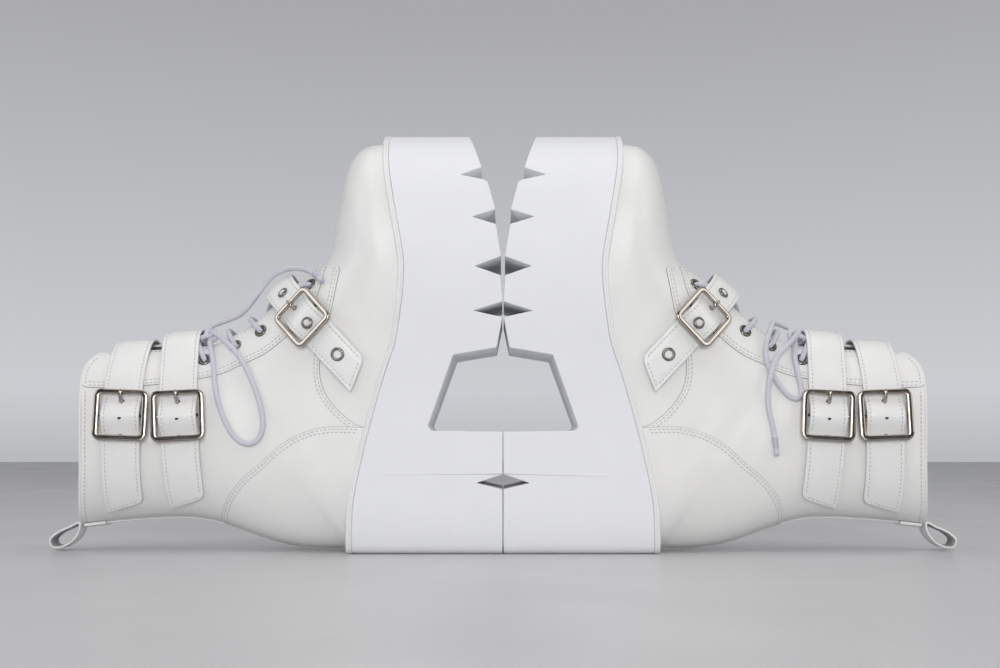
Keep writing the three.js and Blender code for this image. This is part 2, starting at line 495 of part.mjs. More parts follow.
// ---------------------------------------------------------------- pull loop on the collar's back
function smooth(points, n, closed = false) {
  const c = new THREE.CatmullRomCurve3(points.map(([a, b, w = 0]) => new THREE.Vector3(a, b, w)), closed, 'centripetal');
  return c.getSpacedPoints(n);
}
const loopMid = smooth([[19.8, 301.8], [16.8, 309], [12.8, 317.5], [7.8, 322.5], [3.2, 321], [2.8, 315.5], [6.2, 308.5], [12.5, 303.2]], 22, true).slice(0, 22);
const loopOuter = loopMid.map((p, i) => { const q = loopMid[(i + 21) % 22], r = loopMid[(i + 1) % 22]; const t = r.clone().sub(q).normalize(); return [p.x + t.y * 1, p.y - t.x * 1]; });
const loopInner = loopMid.map((p, i) => { const q = loopMid[(i + 21) % 22], r = loopMid[(i + 1) % 22]; const t = r.clone().sub(q).normalize(); return [p.x - t.y * 1, p.y + t.x * 1]; });
const area = (l) => Math.abs(l.reduce((s, p, i) => { const q = l[(i + 1) % l.length]; return s + p[0] * q[1] - p[1] * q[0]; }, 0));
const [bigLoop, smallLoop] = area(loopOuter) > area(loopInner) ? [loopOuter, loopInner] : [loopInner, loopOuter];
const pullLoop = prism(bigLoop, -LOOP_W / 2, LOOP_W / 2, [smallLoop]);

// ---------------------------------------------------------------- laces
// straight-bar lacing over the facings: eyelets lie on section lines, at the same distance from the edge
const eyeletLine = [[186.5, 133.6], [171, 152], [154.8, 169], [144.5, 187.2], [134.6, 208.8], [131.5, 230], [130, 251], [129.5, 272]];
const laceOff = LACE_D / 2 + 0.5;
function eyelet(i, side) { const [L, H] = eyeletLine[i]; return locate(L, H); }
function barPoints(i) {
  const f = eyelet(i), ph = Math.acos(1 - 2 * f.s), out = [];
  const high = i >= 4 ? 0 : 0;
  for (let k = 0; k <= 5; k++) { const a = ph * (1 - 2 * k / 5); out.push(offUpper(f.t, a, laceOff + high)); }
  return out;
}
function lacing() {
  const pts = [], a = eyelet(0), b = eyelet(2);
  const pa = Math.acos(1 - 2 * a.s), pb = -Math.acos(1 - 2 * b.s);
  for (const [f, g] of [[0, 1], [0.02, 0.76], [0.08, 0.52], [0.2, 0.3], [0.38, 0.1], [0.5, 0], [0.62, -0.1], [0.8, -0.32], [0.93, -0.6], [1, -0.96]])
    pts.push(offUpper(a.t + (b.t - a.t) * f, g > 0 ? pa * g : -pb * g, laceOff));   // from the lowest eyelet, slantwise under the instep strap
  pts.push(...barPoints(2).reverse().slice(1));
  pts.push(...barPoints(3));
  pts.push(...barPoints(4).reverse());
  return pts;
}
const lacingPts = new THREE.CatmullRomCurve3(lacing(), false, 'centripetal').getSpacedPoints(40);
const lacingTube = tube(lacingPts, LACE_D / 2, 8);
// free ends of the lace: side-view points with a height over the upper
function freeLace(points, n) {
  const pts = points.map(([L, H, off, w]) => {
    if (w !== undefined) return new THREE.Vector3(L, H, w);
    const s = sidePoint(L, H, 1, 0.15);
    return s.p.clone().addScaledVector(s.n, off);
  });
  return new THREE.CatmullRomCurve3(pts, false, 'centripetal').getSpacedPoints(n);
}
// buckle side of each boot; the two bows were tied differently
const BOW = {
  left: {
    loop: [[149.5, 207.5, 8.8], [147, 197.5, 8.2], [142.5, 189, 7], [135.5, 181.5, 4.6], [126, 176, 2.6], [113.5, 170.2, 2.6], [98, 165.5, 2.6], [84, 165, 2.6], [75.5, 170.8, 2.6], [76.5, 181, 2.6], [87, 189, 2.6], [99, 194.5, 2.8], [114, 199.0, 3], [128, 200.8, 3.2], [138, 203.4, 3.4], [145, 206.3, 3.9]],
    tail: [[160.5, 207.5, 6, 6], [164.5, 196, 8, 8], [168, 186.5, 8, 9], [175.5, 180, 8, 8], [187.5, 172, 8, 5], [197, 163.5, 8, 6], [200, 153.5, 8, 12], [200, 144.5, 8, 19], [196.5, 134, 8, 27.5], [187, 122.5, 4.2]],
  },
  right: {
    loop: [[152, 203, 9], [157, 193, 8.8], [151.5, 184.5, 8.6], [145, 181, 7.0], [136, 181.5, 3.6], [122.5, 187, 2.6], [112.5, 194, 2.6], [106, 200.5, 2.6], [107, 206, 2.7], [116, 206, 2.8], [128, 204, 3.2], [138, 203.4, 3.4], [144.5, 205.6, 3.9]],
    tail: [[148, 208.5, 8.8], [142.5, 199, 8.8], [135, 188.5, 7.4], [121.5, 183, 6.6], [102.5, 182.8, 2.6], [85.5, 186.2, 2.6], [69, 188.4, 2.6]],
  },
};

// ---------------------------------------------------------------- the two boots
const COLOURS = {
  upper: [0xeceded, 0.38, 0], platform: [0xebedf2, 0.5, 0], rand: [0xe9ebee, 0.45, 0], lining: [0xb9b9bd, 0.8, 0], lace: [0xdedeec, 0.85, 0],
  metal: [0xb9b4ad, 0.22, 1], strap: [0xefefef, 0.36, 0],
};
const materials = {};
for (const [k, [c, r, m]] of Object.entries(COLOURS)) materials[k] = () => new THREE.MeshStandardMaterial({ color: c, roughness: r, metalness: m });

const group = new THREE.Group();
function bootGroup(side) {
  const out = new THREE.Group(), pre = side + '_';
  const add = (name, geometry, mat) => {
    const g = weld(geometry.index ? geometry : geometry.toNonIndexed());
    const p = g.attributes.position, s = side === 'left' ? -1 : 1;
    for (let i = 0; i < p.count; i++) {
      const L = p.getX(i), H = p.getY(i), W = p.getZ(i);
      p.setXYZ(i, s * H, MID_W - W, L);
    }
    const fixed = outward(g);
    fixed.computeVertexNormals();
    const mesh = new THREE.Mesh(fixed, materials[mat]());
    mesh.name = pre + name;
    out.add(mesh);
  };
  add('platform_sole', fromSolid(platform), 'platform');
  add('rand_strip', fromSolid(welt), 'rand');
  add('insole_board', insole, 'lining');
  add('footbed', footbed, 'lining');
  add('vamp', fromSolid(vamp), 'upper');
  add('outer_quarter', fromSolid(quarterL), 'upper');
  add('inner_quarter', fromSolid(quarterM), 'upper');
  add('heel_counter', fromSolid(counter), 'upper');
  add('outer_facing', fromSolid(facingL), 'upper');
  add('inner_facing', fromSolid(facingM), 'upper');
  add('tongue', tongue, 'lining');
  add('pull_loop', pullLoop, 'strap');
  for (const [name, s] of Object.entries(strapSet)) {
    add(name + '_strap', s.strapCut, 'strap');
    add(name + '_strap_tail', s.tail, 'strap');
    add(name + '_buckle_frame', s.frame, 'metal');
    add(name + '_buckle_prong', s.prong, 'metal');
    add(name + '_chape', s.chape, 'strap');
  }
  add('lacing', lacingTube, 'lace');
  add('lace_loop', tube(freeLace(BOW[side].loop, 22), LACE_D / 2, 8), 'lace');
  add('lace_tail', tube(freeLace(BOW[side].tail, 15), LACE_D / 2, 8), 'lace');
  return out;
}
group.add(bootGroup('left'));
group.add(bootGroup('right'));

export default group;
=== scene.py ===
import math
import bpy
import bmesh
import numpy as np
from mathutils import Vector, Matrix


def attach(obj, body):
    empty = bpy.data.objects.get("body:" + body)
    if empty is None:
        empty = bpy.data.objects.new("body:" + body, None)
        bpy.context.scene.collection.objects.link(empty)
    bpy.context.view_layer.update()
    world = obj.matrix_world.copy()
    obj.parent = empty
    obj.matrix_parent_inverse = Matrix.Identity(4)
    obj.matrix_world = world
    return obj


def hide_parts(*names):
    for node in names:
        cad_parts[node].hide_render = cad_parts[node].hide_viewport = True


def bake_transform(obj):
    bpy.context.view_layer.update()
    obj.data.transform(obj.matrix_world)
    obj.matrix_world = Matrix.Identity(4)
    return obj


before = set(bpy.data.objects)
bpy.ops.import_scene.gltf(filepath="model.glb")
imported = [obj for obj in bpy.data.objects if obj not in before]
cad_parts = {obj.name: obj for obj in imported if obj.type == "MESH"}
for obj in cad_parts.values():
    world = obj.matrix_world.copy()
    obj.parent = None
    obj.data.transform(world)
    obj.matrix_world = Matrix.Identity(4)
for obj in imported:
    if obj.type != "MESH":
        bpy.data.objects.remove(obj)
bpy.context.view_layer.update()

# ------------------------------------------------------------------ dimensions, mm, in each boot's own frame
# L along the foot from the heel's back to the toe, H up from the ground, W towards the buckle side
MID_W = 0.7
GROUND = 0.4
WALL = 2.4
GAP = 0.35
WELT_H = 3.6
OPEN_HALF = 13.0
STRAP_T = 1.8
STRAP_BASE = 2.1
CROWN = 4.6
CROWN_HALF = 13.0
ANKLE_W = 26.4
INSTEP_W = 23.2
BUCKLE_A = (36.0, 37.2, 4.2)
BUCKLE_I = (33.0, 33.0, 3.9)
FRAME_T = 2.8
FRAME_N = 4.9
BAR_R = 1.1
BAR_N = 4.0
TAIL_START = 19.0
LACE_D = 3.8
LOOP_W = 16.0
SIGN = {"left": -1.0, "right": 1.0}

WELT = [[-5, 104.8], [6, 104.5], [35.5, 103], [65, 97.3], [94, 90], [124, 81.2], [146, 73.6], [162, 70.7], [186, 67.8],
        [200, 67.4], [214, 69.2], [238, 73.5], [267, 78.2], [285, 79.7], [300, 80.6]]
PLAN = [[0, 30, 0], [1.5, 33.5, 0], [4, 35.8, 0.2], [12, 38, 0.4], [25, 39.2, 0.5], [50, 39.5, 0.6], [80, 39.5, 1], [110, 40, 1.8],
        [140, 43, 2], [170, 47.2, 1.7], [200, 50.2, 1.2], [220, 51.2, 0.7], [240, 49.8, 0.2], [255, 46.4, 0], [268, 40.8, -0.6],
        [279, 33.2, -1.5], [288, 23.5, -3], [294, 13, -4.4], [297, 4, -5.3]]
UNDER = [[295.2, 23.6], [268, 15.2], [266, 14.6], [260.5, 29.2], [257, 13.4], [255, 10.4], [235.5, 5.2], [230.5, 21], [225.5, 4.8],
         [203.5, 1.3], [197, 19.2], [190.8, 1.5], [173.1, GROUND], [167, 20.3], [162.7, GROUND], [142.2, 4.4], [137.2, 34.1],
         [88.4, 51.7], [85.5, 49.4], [84.8, GROUND], [55.4, GROUND], [49.4, 18.3], [45.1, GROUND], [0, GROUND]]
ST = np.array([
    [290, 93, 290, 79.8, 6, -5, .95, .6, .8, 2.1],
    [288, 98.5, 288, 79.7, 16, -4, .97, .6, .8, 2.1],
    [283.3, 104, 283.3, 79.4, 24.5, -2.8, .97, .6, .8, 2.1],
    [274.6, 109.8, 274.6, 78.9, 32.5, -1.5, .97, .62, .8, 2.1],
    [263, 113.3, 263, 77.6, 39.5, -.4, .97, .64, .8, 2.1],
    [250, 116, 250, 75.9, 44.8, 0, .97, .66, .8, 2.1],
    [236, 118.2, 236, 73.2, 47.3, .3, .97, .68, .8, 2.1],
    [221, 121, 221, 70.4, 48, .7, .97, .7, .8, 2.05],
    [207, 125, 205, 68, 47.3, 1, .97, .72, .8, 2.0],
    [198, 133, 184, 67.9, 45.3, 1.4, .97, .72, .8, 2.0],
    [189, 146.5, 161, 70.8, 42.3, 1.8, .97, .7, .8, 2.0],
    [179, 158.5, 136, 77, 39.3, 2, .97, .66, .8, 2.0],
    [169.5, 169.5, 110, 85, 37.3, 1.8, .97, .62, .78, 2.0],
    [161.5, 180.5, 83, 93.2, 36.6, 1, .97, .58, .74, 2.05],
    [156, 190, 55, 99.2, 36.4, .6, .97, .55, .7, 2.1],
    [152.5, 198, 28, 103.4, 36.2, .5, .9, .53, .66, 2.15],
    [150, 205, 8.5, 104.6, 36, .4, .62, .52, .6, 2.15],
    [148.6, 211, 4.2, 113, 36, .3, .2, .51, .55, 2.15],
    [147.8, 217, 3.2, 127, 36, .2, 0, .5, .52, 2.15],
    [147, 224.5, 4.6, 147, 36, .1, 0, .5, .5, 2.15],
    [146.3, 233, 10.5, 170, 35.5, 0, 0, .5, .5, 2.15],
    [145.5, 243, 19, 193, 35, 0, 0, .5, .5, 2.15],
    [144.9, 253, 23.8, 214, 35, 0, 0, .5, .5, 2.15],
    [144.3, 264, 24.8, 236, 35.3, 0, 0, .5, .5, 2.15],
    [143.5, 276.5, 23.4, 262, 35.8, 0, 0, .5, .5, 2.15],
    [142.6, 290, 20.8, 288, 36.3, 0, 0, .5, .5, 2.15],
    [141.8, 303, 19, 306, 36.6, 0, 0, .5, .5, 2.15],
    [141.2, 316, 17.5, 322, 36.8, 0, 0, .5, .5, 2.15]], float)
VAMP_SEAM = [[199.5, 190], [199.5, 113.5], [196, 112], [169, 117.5], [131, 126], [115, 124], [104, 117.5], [94.5, 108], [88.4, 97.5], [88.4, 60]]
COUNTER_SEAM = [[-20, 201], [22, 198.5], [37, 192.5], [50.8, 182], [63, 167.5], [75.6, 153.3], [84.2, 137.4], [87.9, 121.6], [87.9, 97.5], [87.9, 60]]
FACING_SEAM = [[114.8, 330], [115.2, 291.5], [114.8, 277], [117, 240], [121, 212], [124, 197.5], [131, 181.5], [137.2, 167.3],
               [146.5, 154], [160, 140], [178, 128], [210, 121]]
COLLAR = [[-20, 300], [20, 299], [26, 297.5], [40, 294.5], [61, 292], [87, 291.6], [115, 292.5], [125, 292.8], [133, 290.6], [139.5, 285], [142.6, 277.5], [170, 272]]
STRAPS = {
    "ankle_upper": dict(start=(170, 260.4), dir=(-1, 0.03), w=ANKLE_W, at=(95.7, 262.6), tail=69, slant=-8, frame=BUCKLE_A, medial=78, lift=2.4, reach=30),
    "ankle_lower": dict(start=(170, 227.6), dir=(-1, -0.055), w=ANKLE_W, at=(95.2, 223.5), tail=65.5, slant=-8, frame=BUCKLE_A, medial=78, lift=6.6, reach=36),
    "instep": dict(start=(205, 174.9), dir=(-0.735, -0.678), w=INSTEP_W, at=(162.5, 135.7), tail=58, slant=-8.5, frame=BUCKLE_I, medial=96, lift=6.8, reach=33),
}
EYELETS = [[186.5, 133.6], [171, 152], [154.8, 169], [144.5, 187.2], [134.6, 208.8], [131.5, 230], [130, 251], [129.5, 272]]
LOOP_MID = [[19.8, 301.8], [16.8, 309], [12.8, 317.5], [7.8, 322.5], [3.2, 321], [2.8, 315.5], [6.2, 308.5], [12.5, 303.2]]
BOW = {
    "left": dict(
        loop=[[149.5, 207.5, 8.8], [147, 197.5, 8.2], [142.5, 189, 7], [135.5, 181.5, 4.6], [126, 176, 2.6], [113.5, 170.2, 2.6], [98, 165.5, 2.6], [84, 165, 2.6], [75.5, 170.8, 2.6], [76.5, 181, 2.6], [87, 189, 2.6], [99, 194.5, 2.8], [114, 199.0, 3], [128, 200.8, 3.2], [138, 203.4, 3.4], [145, 206.3, 3.9]],
        tail=[[160.5, 207.5, 6, 6], [164.5, 196, 8, 8], [168, 186.5, 8, 9], [175.5, 180, 8, 8], [187.5, 172, 8, 5], [197, 163.5, 8, 6], [200, 153.5, 8, 12], [200, 144.5, 8, 19], [196.5, 134, 8, 27.5], [187, 122.5, 4.2]]),
    "right": dict(
        loop=[[152, 203, 9], [157, 193, 8.8], [151.5, 184.5, 8.6], [145, 181, 7.0], [136, 181.5, 3.6], [122.5, 187, 2.6], [112.5, 194, 2.6], [106, 200.5, 2.6], [107, 206, 2.7], [116, 206, 2.8], [128, 204, 3.2], [138, 203.4, 3.4], [144.5, 205.6, 3.9]],
        tail=[[148, 208.5, 8.8], [142.5, 199, 8.8], [135, 188.5, 7.4], [121.5, 183, 6.6], [102.5, 182.8, 2.6], [85.5, 186.2, 2.6], [69, 188.4, 2.6]]),
}


# ------------------------------------------------------------------ the upper's surface
def station(t):
    t = np.clip(np.asarray(t, float), 0, len(ST) - 1)
    i = np.minimum(t.astype(int), len(ST) - 2)
    f = (t - i)[..., None]
    a, b, c, d = ST[np.maximum(i - 1, 0)], ST[i], ST[i + 1], ST[np.minimum(i + 2, len(ST) - 1)]
    return 0.5 * (2 * b + (c - a) * f + (2 * a - 5 * b + 4 * c - d) * f ** 2 + (3 * b - a - 3 * c + d) * f ** 3)


def width_at(st, s):
    w, r, sa, sb, p = st[..., 4], np.clip(st[..., 6], 0, 1), st[..., 7], st[..., 8], st[..., 9]
    a = np.where(s >= sa, 1.0, np.power(np.maximum(1 - np.power(np.clip(1 - s / sa, 0, 1), p), 0), 1 / p))
    q = np.clip((s - sb) / (1 - sb), 0, 1)
    b = np.power(np.maximum(1 - (1 - np.power(r, p)) * np.power(q, p), 0), 1 / p)
    return w * a * b


def on_upper(t, phi):
    """t below 0 is the closing cap of the toe, down to its middle at t = -1"""
    t = np.asarray(t, float)
    phi = np.asarray(phi, float)
    t, phi = np.broadcast_arrays(t, phi)
    st = station(t)
    s = (1 - np.cos(phi)) / 2
    w = width_at(st, s) * np.sign(phi)
    P = np.stack([st[..., 0] + (st[..., 2] - st[..., 0]) * s, st[..., 1] + (st[..., 3] - st[..., 1]) * s, st[..., 5] + w], -1)
    a = np.clip(-t, 0, 1) * np.pi / 2
    c = np.array([288.5, 87.8, -5.0])
    k = np.cos(a)[..., None]
    cap = c + (P - c) * np.concatenate([np.ones_like(k), k, k], -1)
    cap[..., 0] += 0.5 * np.sin(a)
    return np.where((t < 0)[..., None], cap, P)


def normal_at(t, phi):
    t, phi = np.broadcast_arrays(np.asarray(t, float), np.asarray(phi, float))
    lim = np.pi - 0.06
    ph = np.clip(phi, -lim, lim)
    e = 0.04
    a = on_upper(t + e, ph) - on_upper(np.maximum(t - e, -0.99), ph)
    b = on_upper(t, ph + e) - on_upper(t, ph - e)
    n = np.cross(a, b)
    n /= np.maximum(np.linalg.norm(n, axis=-1, keepdims=True), 1e-12)
    # the toe's small front face looks along L
    k = np.clip((0.25 - t) / 0.6, 0, 1)[..., None]
    n = n * (1 - k) + np.array([1.0, 0, 0]) * k
    return n / np.maximum(np.linalg.norm(n, axis=-1, keepdims=True), 1e-12)


TT = np.linspace(0, len(ST) - 1, 541)
SQ = station(TT)


def locate(L, H):
    L = np.asarray(L, float).ravel()
    H = np.asarray(H, float).ravel()
    q = SQ
    dl, dh = q[:, 2] - q[:, 0], q[:, 3] - q[:, 1]
    v = dl * (H[:, None] - q[:, 1]) - dh * (L[:, None] - q[:, 0])
    s = ((L[:, None] - q[:, 0]) * dl + (H[:, None] - q[:, 1]) * dh) / (dl ** 2 + dh ** 2)
    ch = (v[:, 1:] > 0) != (v[:, :-1] > 0)
    ok = ch & (s[:, 1:] > -0.2) & (s[:, 1:] < 1.2)
    last = ch.shape[1] - 1 - ch[:, ::-1].argmax(1)
    k = np.where(ok.any(1), ok.argmax(1), last)
    found = ch.any(1)
    r = np.arange(len(L))
    a, b, va = TT[k].copy(), TT[k + 1].copy(), v[r, k]
    for _ in range(22):
        m = (a + b) / 2
        z = station(m)
        vm = (z[:, 2] - z[:, 0]) * (H - z[:, 1]) - (z[:, 3] - z[:, 1]) * (L - z[:, 0])
        same = (vm > 0) == (va > 0)
        a = np.where(same, m, a)
        b = np.where(same, b, m)
    t = (a + b) / 2
    z = station(t)
    d2 = (z[:, 2] - z[:, 0]) ** 2 + (z[:, 3] - z[:, 1]) ** 2
    return t, ((L - z[:, 0]) * (z[:, 2] - z[:, 0]) + (H - z[:, 1]) * (z[:, 3] - z[:, 1])) / d2, found


def side_point(L, H, side):
    t, s, found = locate(L, H)
    phi = side * np.maximum(np.arccos(1 - 2 * np.clip(s, 0, 1)), 1e-6)
    return on_upper(t, phi), normal_at(t, phi), s, found


def catmull(points, n, closed=False):
    """centripetal Catmull-Rom curve through the points, n + 1 points at even spacing"""
    p = np.asarray(points, float)
    m = len(p)
    segs = m if closed else m - 1
    out = []
    per = max(12, int(6 * n / segs))
    for i in range(segs):
        p1, p2 = p[i % m], p[(i + 1) % m]
        p0 = p[(i - 1) % m] if (closed or i > 0) else 2 * p[0] - p[1]
        p3 = p[(i + 2) % m] if (closed or i + 2 < m) else 2 * p[-1] - p[-2]
        d0, d1, d2 = (max(np.linalg.norm(b - a) ** 0.5, 1e-4) for a, b in ((p0, p1), (p1, p2), (p2, p3)))
        t1 = ((p1 - p0) / d0 - (p2 - p0) / (d0 + d1) + (p2 - p1) / d1) * d1
        t2 = ((p2 - p1) / d1 - (p3 - p1) / (d1 + d2) + (p3 - p2) / d2) * d1
        f = np.linspace(0, 1, per, endpoint=False)[:, None]
        out.append(p1 + t1 * f + (-3 * p1 + 3 * p2 - 2 * t1 - t2) * f ** 2 + (2 * p1 - 2 * p2 + t1 + t2) * f ** 3)
    out.append(p[:1] if closed else p[-1:])
    return respace(np.concatenate(out), n)


def respace(line, n):
    line = np.asarray(line, float)
    d = np.concatenate([[0], np.cumsum(np.linalg.norm(np.diff(line, axis=0), axis=1))])
    x = np.linspace(0, d[-1], n + 1)
    return np.stack([np.interp(x, d, line[:, k]) for k in range(line.shape[1])], 1)


def length_of(line):
    return float(np.linalg.norm(np.diff(line, axis=0), axis=1).sum())


def shift(line, d):
    line = np.asarray(line, float)
    a = line[np.maximum(np.arange(len(line)) - 1, 0)]
    b = line[np.minimum(np.arange(len(line)) + 1, len(line) - 1)]
    e = (b - a) / np.linalg.norm(b - a, axis=1, keepdims=True)
    return line + np.stack([-e[:, 1], e[:, 0]], 1) * d


WELT_C = catmull(WELT, 160)
def welt_h(L):
    return np.interp(L, WELT_C[:, 0], WELT_C[:, 1])


# smooth seams
VAMP_LOW = catmull(VAMP_SEAM[2:], 110)
VAMP_C = np.concatenate([[[199.5, 190], [199.5, 150], [199.5, 116.0], [199.0, 113.6], [197.6, 112.2]], VAMP_LOW])
COUNTER_C = catmull(COUNTER_SEAM, 110)
FACING_C = catmull(FACING_SEAM, 120)
COLLAR_C = catmull(COLLAR, 120)


def poly_sdf(x, y, poly):
    """signed distance to a closed polygon, negative inside"""
    shape = x.shape
    px, py = x.ravel(), y.ravel()
    poly = np.asarray(poly, float)
    out = np.empty(px.shape)
    a, b = poly, np.roll(poly, -1, 0)
    keep = np.linalg.norm(b - a, axis=1) > 1e-9
    a, b = a[keep], b[keep]
    e = b - a
    ee = (e ** 2).sum(1)
    for lo in range(0, len(px), 6000):
        X, Y = px[lo:lo + 6000, None], py[lo:lo + 6000, None]
        wx, wy = X - a[:, 0], Y - a[:, 1]
        h = np.clip((wx * e[:, 0] + wy * e[:, 1]) / ee, 0, 1)
        d = np.sqrt(((wx - e[:, 0] * h) ** 2 + (wy - e[:, 1] * h) ** 2).min(1))
        cross = ((a[:, 1] > Y) != (b[:, 1] > Y)) & (X < (b[:, 0] - a[:, 0]) * (Y - a[:, 1]) / np.where(np.abs(b[:, 1] - a[:, 1]) < 1e-12, 1e-12, b[:, 1] - a[:, 1]) + a[:, 0])
        out[lo:lo + 6000] = np.where(cross.sum(1) % 2 == 1, -d, d)
    return out.reshape(shape)


# ------------------------------------------------------------------ scene helpers
def to_row(P, side):
    P = np.asarray(P, float)
    return np.stack([SIGN[side] * P[..., 1], MID_W - P[..., 2], P[..., 0]], -1) / 1000.0


def vec_row(V, side):
    V = np.asarray(V, float)
    return np.stack([SIGN[side] * V[..., 1], -V[..., 2], V[..., 0]], -1)


MATS = {}


def make(name, side, P, faces, mat, body, replaces=(), slot=None, smooth=40.0, face_mats=None, mats=None, uv=None):
    """a mesh from points and faces in a boot's own frame, mirrored for the right boot"""
    if side == "right":
        faces = [f[::-1] for f in faces]
    me = bpy.data.meshes.new(side + "_" + name)
    me.from_pydata(to_row(P, side).tolist(), [], [list(map(int, f)) for f in faces])
    for m in (mats or [mat]):
        me.materials.append(MATS[m])
    if face_mats is not None:
        me.polygons.foreach_set("material_index", np.asarray(face_mats, np.int32))
    if uv is not None:
        layer = me.uv_layers.new(name="UVMap")
        idx = np.empty(len(me.loops), np.int32)
        me.loops.foreach_get("vertex_index", idx)
        layer.data.foreach_set("uv", np.asarray(uv, np.float32)[idx].ravel())
    me.validate()
    me.shade_smooth()
    if smooth:
        me.set_sharp_from_angle(angle=math.radians(smooth))
    o = bpy.data.objects.new(side + "_" + name, me)
    bpy.context.scene.collection.objects.link(o)
    if body:
        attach(o, body)
    if replaces:
        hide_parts(*[side + "_" + r for r in replaces])
    return o


RIM_FROM = [0]


def edge_mats(faces):
    """material numbers for the last sheet: 1 on the grey cut edge around it, a raw-edge grey made darker to paint the
    thin shade line along the panel's edge
    """
    k = RIM_FROM[0]
    return [0] * k + [1 if j % 4 >= 1 else 0 for j in range(len(faces) - k)]


